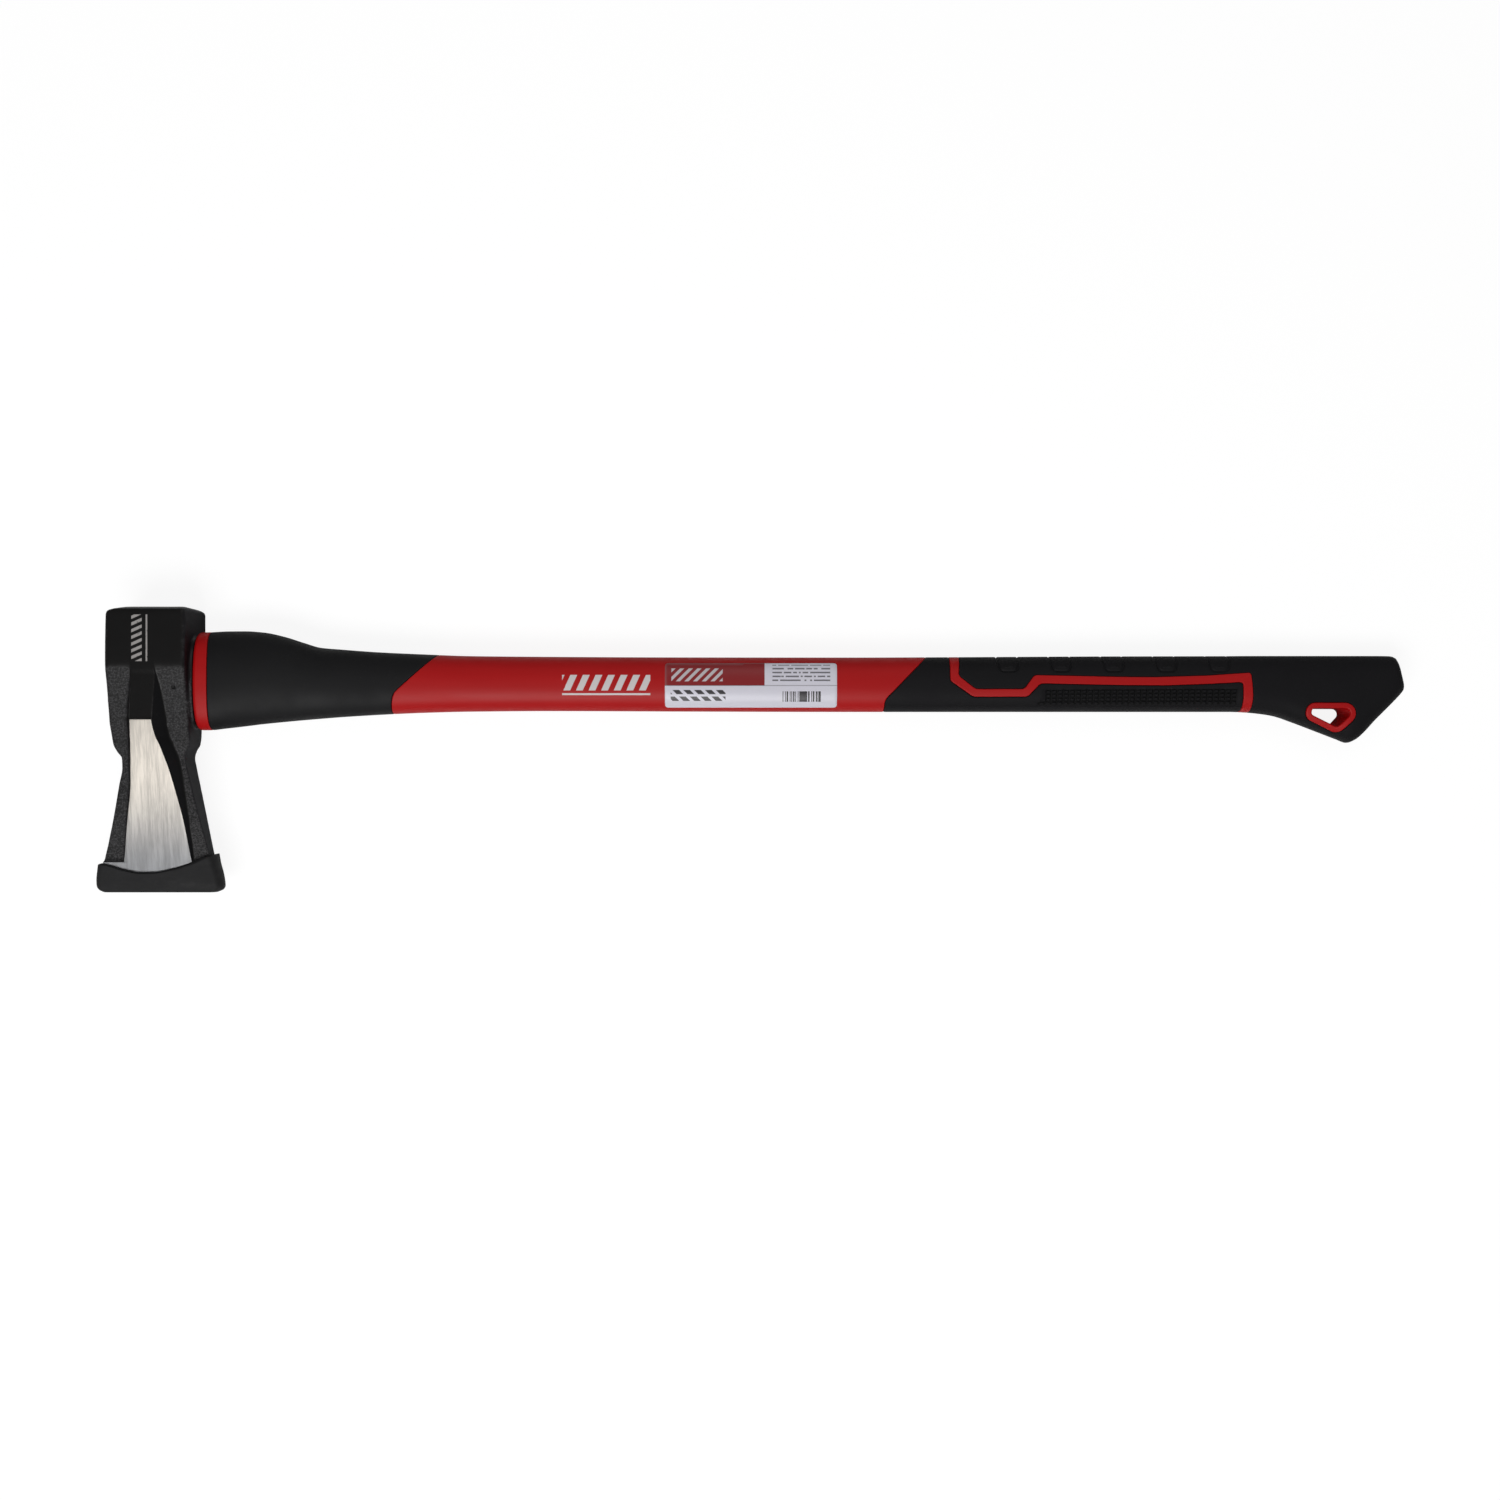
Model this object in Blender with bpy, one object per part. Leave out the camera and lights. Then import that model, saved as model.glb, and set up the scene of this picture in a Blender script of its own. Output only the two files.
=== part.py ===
"""Splitting maul: a forged head on a jacketed fibreglass handle, with its edge guard on, lying on its side.

Dimensions are millimetres in the tool's own frame: X runs along the handle from the head to the knob,
Y from the cutting edge to the poll, and Z across the cheeks, with Z = 0 halfway through the thickness.
The empty "rest_on_side" lays that frame on the ground, on the lower cheek's edge and on the knob.
"""

import math

import bmesh
import bpy
from mathutils import Vector

MM = 0.001
GAP = 0.3                   # clearance between neighbouring pieces

# Head: forged steel, poll up, edge down.
HEAD_HALF = 23.5            # half the thickness over the poll's cheeks
BLOCK_HALF = 23.2           # half the thickness over the smooth block at the wedge's root
HEAD_FACE_X = -388.0        # the head's side towards the handle
EYE_RIM_X = -385.6          # the raised rim round the eye, which the handle's shoulder seats on
EYE_RIM_HALF = (32.0, 16.0)
POLL_FACE_Y = 99.3          # the striking face's flat centre
EDGE_Y = -95.4
EDGE_HALF = 0.5             # half the width of the cutting edge's flat
BEVEL_HALF = 2.3            # half the thickness 3.4 mm above the cutting edge
BLADE_LEFT = -452.2         # the blade's widest, near the edge
BLADE_RIGHT = -373.2
FACET_TOP_Y = 21.0          # where the ground facet starts
FACET_TAPER = 0.163         # how fast the wedge thins towards the edge, per side
RECESS_END_Y = -77.0        # where the forged side panels end above the cutting edge
LEFT_WALL_RUN = 0.55        # run of the wedge's far wall per millimetre of depth
RIGHT_WALL_RUN = 0.95       # run of the wedge's wall on the handle side

# Eye: the oval passage for the handle, along X.
EYE_Y = 47.0
EYE_HALF = (27.0, 13.2)
EYE_SQUARENESS = 2.4
TONGUE_HALF = (25.2, 11.6)
TONGUE_END_X = -440.4
EPOXY_END_X = -442.8

# Handle.
CORE_HALF = (15.5, 8.2)
CORE_Y = 46.5
CORE_END_X = 372.0
CORE_SQUARENESS = 2.5
GRIP_THICKNESS = 2.2        # of the soft grips over the jacket
JACKET_END_X = 424.0
RING_X = (-385.2, -370.0)
RING_TOP_Y = 81.3
RING_BOTTOM_Y = 12.3
RING_HALF = 17.2
RING_ROUND = 2.6            # rounding of the shoulder ring's front edge
SECTION_POINTS = 28

# Outer surface over jacket and grips: x, top y, bottom y, half thickness, squareness.
HANDLE_STATIONS = (
    (-385.0, 82.2, 13.9, 17.0, 2.4),
    (-378.0, 82.3, 13.9, 17.0, 2.4),
    (-366.0, 82.9, 15.1, 17.2, 2.4),
    (-353.0, 83.0, 16.6, 17.2, 2.4),
    (-340.0, 82.1, 18.2, 16.9, 2.4),
    (-326.0, 79.2, 19.6, 16.4, 2.4),
    (-312.0, 74.8, 20.9, 15.9, 2.4),
    (-300.0, 71.4, 21.9, 15.5, 2.4),
    (-286.0, 70.2, 23.0, 15.1, 2.4),
    (-260.0, 68.3, 24.6, 14.6, 2.4),
    (-230.0, 66.9, 26.0, 14.2, 2.4),
    (-195.0, 65.6, 26.9, 14.0, 2.4),
    (-140.0, 65.1, 27.3, 13.9, 2.4),
    (-50.0, 64.7, 27.0, 13.9, 2.4),
    (70.0, 64.6, 26.7, 14.0, 2.4),
    (150.0, 64.9, 26.7, 14.6, 2.5),
    (250.0, 65.4, 26.7, 15.0, 2.6),
    (335.0, 65.6, 26.7, 15.0, 2.7),
    (347.0, 65.7, 26.2, 15.0, 2.7),
    (357.0, 65.7, 25.2, 14.8, 2.7),
    (367.0, 65.7, 23.5, 14.6, 2.7),
    (380.0, 65.7, 19.1, 14.4, 2.7),
    (399.0, 65.7, 11.8, 14.3, 2.7),
    (411.0, 65.7, 7.2, 14.3, 2.7),
    (417.2, 65.7, 5.0, 14.3, 2.7),
    (421.5, 65.7, 6.5, 14.3, 2.7),
    (437.0, 65.7, 21.8, 14.3, 2.7),
    (446.0, 65.6, 30.9, 14.1, 2.7),
    (448.8, 65.0, 33.8, 13.6, 2.7),
    (450.6, 62.4, 35.6, 12.9, 2.6),
    (452.6, 55.0, 37.8, 11.4, 2.5),
    (454.4, 48.0, 40.3, 9.0, 2.4),
    (455.2, 44.6, 42.4, 5.0, 2.3),
)
STATION_PITCH = 16.0        # longest stretch between two of the loft's sections

# Seams between the jacket's visible bands and the soft grips, seen across the cheeks, from top to bottom.
RING_SEAM = ((-376.4, 96.0), (-376.4, 83.0), (-375.2, 66.0), (-375.0, 48.0), (-375.2, 30.0),
             (-375.8, 13.0), (-375.8, -4.0))
COLLAR_SEAM = ((-185.0, 96.0), (-246.1, 40.1), (-247.9, 36.0), (-249.2, 26.0), (-249.4, -4.0))
GRIP_SEAM = ((129.4, 72.0), (93.6, 34.6), (93.2, 27.0), (93.0, -4.0))
RIB_OUTER_SEAM = ((146.2, 72.0), (144.3, 51.7), (156.2, 42.3), (189.7, 42.3), (196.8, 52.1), (255.7, 50.8),
                  (279.2, 50.6), (316.5, 51.7), (346.6, 53.8), (347.6, 45.0), (348.2, 36.0), (347.8, 27.0), (347.0, -4.0))
RIB_INNER_SEAM = ((138.7, 72.0), (138.4, 48.0), (154.5, 36.6), (192.2, 36.7), (200.9, 46.0), (255.7, 44.8),
                  (287.5, 44.6), (316.5, 45.6), (340.9, 46.9), (341.4, 37.0), (341.3, 27.0), (340.8, -4.0))
KNOB_SIDE_X = 470.0         # past the knob, where the back grip's region closes

# Lanyard hole through the knob: corners with their radii, counter-clockwise.
LANYARD_CORNERS = ((389.0, 24.4, 2.2), (407.2, 15.5, 2.8), (420.4, 28.9, 3.6), (389.0, 28.9, 2.2))
EYELET_RIM = 3.9            # width of the jacket's rim round the hole
CORNER_STEPS = 4

# Label wrapped on the near side of the handle.
LABEL_X = (-58.9, 60.2)
LABEL_Y = (29.6, 60.1)
LABEL_THICKNESS = 0.25
LABEL_STEPS = 10

# Edge guard: outer sections as y, left x, right x, half thickness, from the mouth to the closed side.
GUARD_SECTIONS = (
    (-69.0, -453.9, -373.0, 10.6),
    (-80.0, -455.3, -370.7, 9.6),
    (-86.0, -456.2, -369.0, 9.0),
    (-91.5, -456.7, -367.9, 8.4),
    (-95.0, -456.5, -367.5, 7.8),
    (-97.6, -455.0, -368.6, 7.0),
    (-99.2, -452.0, -372.2, 5.6),
)
GUARD_LIP = ((-460.0, -79.2), (-449.5, -79.6), (-436.0, -83.2), (-423.0, -85.5), (-414.0, -85.3),
             (-399.5, -82.7), (-387.0, -79.0), (-371.5, -72.7), (-364.0, -71.8))
GUARD_END_ROUND = 5.0
GUARD_END_STEP = 30         # degrees between the points of a rounded end
GUARD_SLIDE_ORIGIN = (-412.0, -86.0, 0.0)

# How the tool lies: head down on its lower cheek's edge, knob touching the ground.
KNOB_REST_X = 438.0
KNOB_HALF = 14.3
REST_TILT = math.atan2(HEAD_HALF - KNOB_HALF, KNOB_REST_X - HEAD_FACE_X)
REST_HEIGHT = HEAD_HALF * math.cos(REST_TILT) + HEAD_FACE_X * math.sin(REST_TILT)


# ---------------------------------------------------------------- shared helpers

def clear_scene():
    for item in list(bpy.data.objects):
        bpy.data.objects.remove(item, do_unlink=True)


def make_material(name, colour, roughness, metallic=0.0):
    material = bpy.data.materials.new(name)
    material.use_nodes = True
    shader = material.node_tree.nodes["Principled BSDF"]
    shader.inputs["Base Color"].default_value = (*colour, 1.0)
    shader.inputs["Roughness"].default_value = roughness
    shader.inputs["Metallic"].default_value = metallic
    return material


def add_solid(name, points, faces, material=None, origin=(0.0, 0.0, 0.0)):
    """Adds a closed mesh, given in the tool's frame, with its object origin at the point named."""
    origin = Vector(origin)
    mesh = bpy.data.meshes.new(name)
    mesh.from_pydata([(Vector(point) - origin) * MM for point in points], [], faces)
    tidy = bmesh.new()
    tidy.from_mesh(mesh)
    bmesh.ops.recalc_face_normals(tidy, faces=tidy.faces)
    tidy.to_mesh(mesh)
    tidy.free()
    mesh.shade_smooth()
    mesh.set_sharp_from_angle(angle=math.radians(35.0))
    item = bpy.data.objects.new(name, mesh)
    bpy.context.scene.collection.objects.link(item)
    item.parent = rest
    item.location = origin * MM
    if material:
        mesh.materials.append(material)
    return item


def boolean(target, tool, operation):
    modifier = target.modifiers.new(f"{operation.lower()}_{tool.name}", "BOOLEAN")
    modifier.operation = operation
    modifier.object = tool
    tool.hide_render = True
    tool.display_type = "WIRE"


def loft(rings):
    """Points and faces of a tube through rings of equal length, closed by a face at each end."""
    count = len(rings[0])
    points = [point for ring in rings for point in ring]
    faces = [tuple(reversed(range(count)))]
    for ring in range(len(rings) - 1):
        low = ring * count
        high = low + count
        for side in range(count):
            after = (side + 1) % count
            faces.append((low + side, low + after, high + after, high + side))
    faces.append(tuple(range(len(points) - count, len(points))))
    return points, faces


def prism(name, outline, low=-40.0, high=40.0):
    """A hidden tool: an outline in X and Y, extruded through the whole thickness."""
    rings = [[(x, y, z) for x, y in outline] for z in (low, high)]
    return add_solid(name, *loft(rings))


def superellipse(x, centre_y, half_y, half_z, squareness, count=SECTION_POINTS):
    ring = []
    for step in range(count):
        angle = 2.0 * math.pi * step / count
        across, through = math.cos(angle), math.sin(angle)
        y = centre_y + half_y * math.copysign(abs(across) ** (2.0 / squareness), across)
        z = half_z * math.copysign(abs(through) ** (2.0 / squareness), through)
        ring.append((x, y, z))
    return ring


def offset_outline(outline, distance):
    """Moves a counter-clockwise outline's sides outwards by distance, or inwards where it is negative."""
    moved = []
    for index, corner in enumerate(outline):
        corner = Vector(corner)
        arriving = (corner - Vector(outline[index - 1])).normalized()
        leaving = (Vector(outline[(index + 1) % len(outline)]) - corner).normalized()
        normal_in = Vector((arriving.y, -arriving.x))
        normal_out = Vector((leaving.y, -leaving.x))
        mitre = normal_in + normal_out
        moved.append(tuple(corner + mitre * (2.0 * distance / mitre.length_squared)))
    return moved


def round_corners(corners, grow=0.0):
    """A counter-clockwise outline with each corner turned to an arc, grown outwards by grow."""
    sharp = offset_outline([(x, y) for x, y, radius in corners], grow)
    outline = []
    for index, (corner, (_, _, radius)) in enumerate(zip(sharp, corners)):
        corner = Vector(corner)
        back = (Vector(sharp[index - 1]) - corner).normalized()
        ahead = (Vector(sharp[(index + 1) % len(sharp)]) - corner).normalized()
        half_angle = back.angle(ahead) / 2.0
        bisector = (back + ahead).normalized()
        centre = corner + bisector * ((radius + grow) / math.sin(half_angle))
        first = corner + back * ((radius + grow) / math.tan(half_angle)) - centre
        sweep = math.pi - 2.0 * half_angle
        for step in range(CORNER_STEPS + 1):
            angle = sweep * step / CORNER_STEPS
            turned = Vector((first.x * math.cos(angle) - first.y * math.sin(angle),
                             first.x * math.sin(angle) + first.y * math.cos(angle)))
            outline.append(tuple(centre + turned))
    return outline


# ---------------------------------------------------------------- handle surface

def station_slopes(column):
    """Slopes at the stations that keep the curve between them from overshooting."""
    rises = [(after[column] - before[column]) / (after[0] - before[0])
             for before, after in zip(HANDLE_STATIONS, HANDLE_STATIONS[1:])]
    slopes = [rises[0]]
    for before, after in zip(rises, rises[1:]):
        slopes.append(2.0 * before * after / (before + after) if before * after > 0.0 else 0.0)
    return slopes + [rises[-1]]


def handle_values(x):
    """Top, bottom, half thickness and squareness of the handle's outer surface at x."""
    index = 0
    while index < len(HANDLE_STATIONS) - 2 and x > HANDLE_STATIONS[index + 1][0]:
        index += 1
    before, after = HANDLE_STATIONS[index], HANDLE_STATIONS[index + 1]
    length = after[0] - before[0]
    along = min(max((x - before[0]) / length, 0.0), 1.0)
    values = []
    for column in range(1, 5):
        slope_in, slope_out = HANDLE_SLOPES[column][index], HANDLE_SLOPES[column][index + 1]
        values.append(before[column] * (1.0 + 2.0 * along) * (1.0 - along) ** 2
                      + after[column] * along ** 2 * (3.0 - 2.0 * along)
                      + slope_in * length * along * (1.0 - along) ** 2
                      - slope_out * length * along ** 2 * (1.0 - along))
    return values


HANDLE_SLOPES = {column: station_slopes(column) for column in range(1, 5)}


def handle_section(x, inset=0.0):
    top, bottom, half_thickness, squareness = handle_values(x)
    return superellipse(x, (top + bottom) / 2.0, (top - bottom) / 2.0 - inset,
                        half_thickness - inset, squareness)


def station_xs(first, last):
    """Stations between two places, with long stretches divided."""
    places = [first]
    for station in HANDLE_STATIONS:
        if first + 1.0 < station[0] < last - 1.0:
            places.append(station[0])
    places.append(last)
    divided = [first]
    for before, after in zip(places, places[1:]):
        parts = max(1, math.ceil((after - before) / STATION_PITCH))
        divided.extend(before + (after - before) * part / parts for part in range(1, parts + 1))
    return divided


def handle_envelope(name, material=None):
    xs = station_xs(HANDLE_STATIONS[0][0], HANDLE_STATIONS[-1][0])
    return add_solid(name, *loft([handle_section(x) for x in xs]), material)


def jacket_inside(name, inset, end_x, tongue_grow=0.0, material=None):
    """The jacket under the grips, with the tongue that fills the head's eye."""
    tongue = [superellipse(x, EYE_Y, TONGUE_HALF[0] + tongue_grow, TONGUE_HALF[1] + tongue_grow, EYE_SQUARENESS)
              for x in (TONGUE_END_X, RING_X[0])]
    body = [handle_section(x, inset) for x in station_xs(RING_X[0] + 3.0, end_x)]
    return add_solid(name, *loft(tongue + body), material)


# ---------------------------------------------------------------- seams and regions

def region(left_seam, right_seam):
    """The counter-clockwise outline between two seams that run from top to bottom."""
    return list(left_seam) + list(reversed(right_seam))


def grip_regions():
    knob_side = ((KNOB_SIDE_X, 72.0), (KNOB_SIDE_X, -4.0))
    return {
        "ring": region(((-392.0, 96.0), (-392.0, -4.0)), RING_SEAM),
        "collar": region(RING_SEAM, COLLAR_SEAM),
        "middle": region(COLLAR_SEAM, GRIP_SEAM),
        "belly": region(GRIP_SEAM, RIB_INNER_SEAM),
        "rib": region(RIB_INNER_SEAM, RIB_OUTER_SEAM),
        "back": region(RIB_OUTER_SEAM, knob_side),
    }


def banded(name, region_name, material=None):
    """The part of the handle's outer envelope inside one region, half a gap short of the seams."""
    item = handle_envelope(name, material)
    outline = offset_outline(grip_regions()[region_name], -GAP / 2.0)
    boolean(item, prism(f"{name}_region", outline), "INTERSECT")
    return item


# ---------------------------------------------------------------- pieces

def head_section(y, left, right, edge_half, facet_left, facet_right, facet_half):
    """A twelve-sided section across the thickness: side panels at edge_half, wedge at facet_half."""
    depth = facet_half - edge_half
    near = [
        (left, edge_half),
        (facet_left - LEFT_WALL_RUN * depth, edge_half),
        (facet_left, facet_half),
        (facet_right, facet_half),
        (facet_right + RIGHT_WALL_RUN * depth, edge_half),
        (right, edge_half),
    ]
    far = [(x, -z) for x, z in reversed(near)]
    return [(x, y, z) for x, z in near + far]


def facet_half_at(y):
    return BLOCK_HALF - FACET_TAPER * (FACET_TOP_Y - y)


def make_head():
    block_left, block_right = -425.0, -409.0
    rings = [
        head_section(POLL_FACE_Y, -426.5, -391.5, 14.0, block_left, block_right, 14.0),
        head_section(98.3, -434.0, -389.2, 20.5, block_left, block_right, 20.5),
        head_section(97.0, -439.8, -388.2, 23.0, block_left, block_right, 23.0),
        head_section(94.5, -442.9, HEAD_FACE_X, HEAD_HALF, block_left, block_right, HEAD_HALF),
        head_section(55.6, -443.5, HEAD_FACE_X, HEAD_HALF, block_left, block_right, HEAD_HALF),
        head_section(54.6, -443.5, HEAD_FACE_X, 22.1, block_left, -408.6, BLOCK_HALF),
        head_section(38.0, -443.5, HEAD_FACE_X, 18.6, -425.8, -409.6, BLOCK_HALF),
        head_section(FACET_TOP_Y, -443.3, HEAD_FACE_X, 15.4, -426.2, -410.7, BLOCK_HALF),
    ]
    lower = (
        # y, left, right, half thickness of the side panels, facet's left and right sides
        (10.0, -442.3, -387.7, 14.0, -426.3, -408.9),
        (3.6, -441.4, -388.3, 13.2, -426.4, -406.2),
        (-1.0, -439.3, -390.5, 12.3, -426.6, -404.6),
        (-6.0, -436.1, -391.6, 11.6, -426.8, -402.9),
        (-12.0, -435.9, -390.5, 11.3, -427.2, -401.0),
        (-24.0, -438.2, -387.8, 10.7, -427.9, -398.0),
        (-49.0, -443.0, -382.1, 8.9, -431.6, -392.6),
        (RECESS_END_Y, -449.9, -375.5, 5.9, -435.5, -388.4),
    )
    for y, left, right, edge_half, facet_left, facet_right in lower:
        rings.append(head_section(y, left, right, edge_half, facet_left, facet_right, facet_half_at(y)))
    cutting_end = (
        (RECESS_END_Y - 1.0, -450.2, -375.3, facet_half_at(RECESS_END_Y - 1.0)),
        (-86.0, BLADE_LEFT + 0.2, BLADE_RIGHT - 0.3, facet_half_at(-86.0)),
        (-92.0, BLADE_LEFT, BLADE_RIGHT, BEVEL_HALF),
        (EDGE_Y, BLADE_LEFT + 2.8, BLADE_RIGHT - 2.8, EDGE_HALF),
    )
    for y, left, right, half in cutting_end:
        rings.append(head_section(y, left, right, half, -435.6, -388.3, half))
    head = add_solid("head", *loft(rings), make_material("forged_steel", (0.03, 0.03, 0.032), 0.45, 0.3))
    rim_rings = [superellipse(x, EYE_Y, *EYE_RIM_HALF, EYE_SQUARENESS) for x in (-395.0, EYE_RIM_X)]
    boolean(head, add_solid("eye_rim", *loft(rim_rings)), "UNION")
    eye_rings = [superellipse(x, EYE_Y, *EYE_HALF, EYE_SQUARENESS) for x in (-470.0, -360.0)]
    boolean(head, add_solid("eye_passage", *loft(eye_rings)), "DIFFERENCE")


def make_core():
    rings = [superellipse(x, CORE_Y, *CORE_HALF, CORE_SQUARENESS) for x in (TONGUE_END_X, CORE_END_X)]
    add_solid("handle_core", *loft(rings), make_material("fibreglass", (0.75, 0.68, 0.42), 0.4))


def make_epoxy():
    rings = [superellipse(x, EYE_Y, EYE_HALF[0] - GAP, EYE_HALF[1] - GAP, EYE_SQUARENESS)
             for x in (EPOXY_END_X, EYE_RIM_X)]
    epoxy = add_solid("eye_epoxy", *loft(rings), make_material("epoxy", (0.05, 0.05, 0.05), 0.35))
    tongue = [superellipse(x, EYE_Y, TONGUE_HALF[0] + GAP, TONGUE_HALF[1] + GAP, EYE_SQUARENESS)
              for x in (TONGUE_END_X - GAP, HEAD_FACE_X + 20.0)]
    boolean(epoxy, add_solid("tongue_passage", *loft(tongue)), "DIFFERENCE")


def make_shoulder_ring():
    """The flange of the jacket that seats on the head, rounded where it meets the steel."""
    middle = (RING_TOP_Y + RING_BOTTOM_Y) / 2.0
    half_height = (RING_TOP_Y - RING_BOTTOM_Y) / 2.0
    rings = []
    for step in range(4):
        angle = math.pi / 2.0 * step / 3.0
        inset = RING_ROUND * (1.0 - math.sin(angle))
        x = RING_X[0] + RING_ROUND * (1.0 - math.cos(angle))
        rings.append(superellipse(x, middle, half_height - inset, RING_HALF - inset, 2.5))
    rings.append(superellipse(RING_X[1], middle, half_height, RING_HALF, 2.5))
    ring = add_solid("shoulder_ring", *loft(rings))
    outline = offset_outline(grip_regions()["ring"], -GAP / 2.0)
    boolean(ring, prism("shoulder_ring_region", outline), "INTERSECT")
    return ring


def make_jacket(red):
    jacket = jacket_inside("handle_jacket", GRIP_THICKNESS, JACKET_END_X, material=red)
    boolean(jacket, make_shoulder_ring(), "UNION")
    boolean(jacket, banded("middle_band", "middle"), "UNION")
    boolean(jacket, banded("rib_band", "rib"), "UNION")
    boss = handle_envelope("eyelet_boss")
    boolean(boss, prism("eyelet_boss_region", round_corners(LANYARD_CORNERS, EYELET_RIM)), "INTERSECT")
    boolean(jacket, boss, "UNION")
    bore_rings = [superellipse(x, CORE_Y, CORE_HALF[0] + GAP, CORE_HALF[1] + GAP, CORE_SQUARENESS)
                  for x in (TONGUE_END_X - 10.0, CORE_END_X + GAP)]
    boolean(jacket, add_solid("core_bore", *loft(bore_rings)), "DIFFERENCE")
    boolean(jacket, prism("lanyard_passage", round_corners(LANYARD_CORNERS)), "DIFFERENCE")


def make_grips(black):
    under_grips = jacket_inside("grip_inside", GRIP_THICKNESS - GAP, JACKET_END_X + GAP, GAP)
    for name, region_name in (("front_collar", "collar"), ("grip_belly", "belly"), ("grip_back", "back")):
        grip = banded(name, region_name, black)
        boolean(grip, under_grips, "DIFFERENCE")
        if name == "grip_back":
            boss_outline = round_corners(LANYARD_CORNERS, EYELET_RIM + GAP)
            boolean(grip, prism("eyelet_seat", boss_outline), "DIFFERENCE")


def make_label():
    """A thin wrapped sheet: rows of points round the near side, an outer and an inner layer."""
    def row(x, lift):
        top, bottom, half_thickness, squareness = handle_values(x)
        centre, half = (top + bottom) / 2.0, (top - bottom) / 2.0
        points = []
        for step in range(LABEL_STEPS + 1):
            y = LABEL_Y[0] + (LABEL_Y[1] - LABEL_Y[0]) * step / LABEL_STEPS
            across = (y - centre) / half
            through = (1.0 - abs(across) ** squareness) ** (1.0 / squareness)
            normal = Vector((0.0, math.copysign(abs(across) ** (squareness - 1.0) / half, across),
                             through ** (squareness - 1.0) / half_thickness)).normalized()
            points.append(Vector((x, y, half_thickness * through)) + normal * lift)
        return points

    xs = [LABEL_X[0] + (LABEL_X[1] - LABEL_X[0]) * step / 4.0 for step in range(5)]
    rings = [row(x, GAP + LABEL_THICKNESS) + list(reversed(row(x, GAP))) for x in xs]
    label = make_material("label_film", (0.85, 0.85, 0.85), 0.35)
    add_solid("label", *loft(rings), label)


def rounded_bar(y, left, right, half, end_round):
    """A section across the thickness: a bar from left to right whose ends are rounded."""
    run = min(end_round, half)
    right_end = []
    left_end = []
    for degrees in range(-90, 91, GUARD_END_STEP):
        angle = math.radians(degrees)
        pulled_in = run * (1.0 - math.cos(angle))
        height = half * math.sin(angle)
        right_end.append((right - pulled_in, y, height))
        left_end.append((left + pulled_in, y, -height))
    return right_end + left_end


def make_guard():
    rings = [rounded_bar(*section, GUARD_END_ROUND) for section in GUARD_SECTIONS]
    material = make_material("guard_rubber", (0.03, 0.03, 0.03), 0.65)
    guard = add_solid("edge_guard", *loft(rings), material, GUARD_SLIDE_ORIGIN)
    lip = list(GUARD_LIP) + [(-364.0, -105.0), (-460.0, -105.0)]
    boolean(guard, prism("guard_lip_region", list(reversed(lip))), "INTERSECT")
    left, right = BLADE_LEFT - GAP, BLADE_RIGHT + GAP
    cavity = (
        (-60.0, facet_half_at(-60.0)),
        (-86.0, facet_half_at(-86.0)),
        (-92.0, BEVEL_HALF),
        (EDGE_Y - GAP, EDGE_HALF),
    )
    cavity_rings = [[(left, y, half + GAP), (right, y, half + GAP), (right, y, -half - GAP), (left, y, -half - GAP)]
                    for y, half in cavity]
    boolean(guard, add_solid("guard_cavity", *loft(cavity_rings)), "DIFFERENCE")


clear_scene()
rest = bpy.data.objects.new("rest_on_side", None)
bpy.context.scene.collection.objects.link(rest)
rest.rotation_euler = (0.0, REST_TILT, 0.0)
rest.location = (0.0, 0.0, REST_HEIGHT * MM)

make_head()
make_guard()
make_core()
make_epoxy()
make_jacket(make_material("red_polypropylene", (0.45, 0.01, 0.02), 0.35))
make_grips(make_material("black_rubber", (0.025, 0.025, 0.027), 0.6))
make_label()
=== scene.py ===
"""Looks of the splitting maul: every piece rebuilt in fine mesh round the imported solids, with its materials,
a pale floor, soft light and the camera.

Shapes are worked out in the tool's own frame, in millimetres: X along the handle from head to knob, Y from
the cutting edge to the poll, Z across the cheeks. place() takes them to the frame's metres, and each piece
keeps its tool-frame coordinates in the mesh attribute "tool", which the materials read.
"""

import math

import bmesh
import bpy
import numpy as np
from mathutils import Matrix, Vector, noise
from mathutils.geometry import delaunay_2d_cdt
from mathutils.kdtree import KDTree


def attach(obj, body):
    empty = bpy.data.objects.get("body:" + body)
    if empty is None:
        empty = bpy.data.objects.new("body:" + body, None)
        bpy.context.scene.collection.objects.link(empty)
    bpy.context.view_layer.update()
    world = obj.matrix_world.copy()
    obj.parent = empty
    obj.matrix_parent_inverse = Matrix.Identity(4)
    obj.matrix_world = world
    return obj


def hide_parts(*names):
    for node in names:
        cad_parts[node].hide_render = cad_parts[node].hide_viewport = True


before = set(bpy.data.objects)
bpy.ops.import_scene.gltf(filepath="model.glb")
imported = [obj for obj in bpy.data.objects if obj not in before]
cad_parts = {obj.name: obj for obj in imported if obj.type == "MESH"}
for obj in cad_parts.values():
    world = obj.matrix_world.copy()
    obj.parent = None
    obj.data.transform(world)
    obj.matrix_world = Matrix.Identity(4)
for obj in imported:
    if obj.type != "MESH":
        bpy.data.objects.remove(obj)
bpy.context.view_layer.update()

MM = 0.001
GAP = 0.3                    # clearance between neighbouring pieces, as in the solids
HALF_GAP = GAP / 2.0

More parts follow.
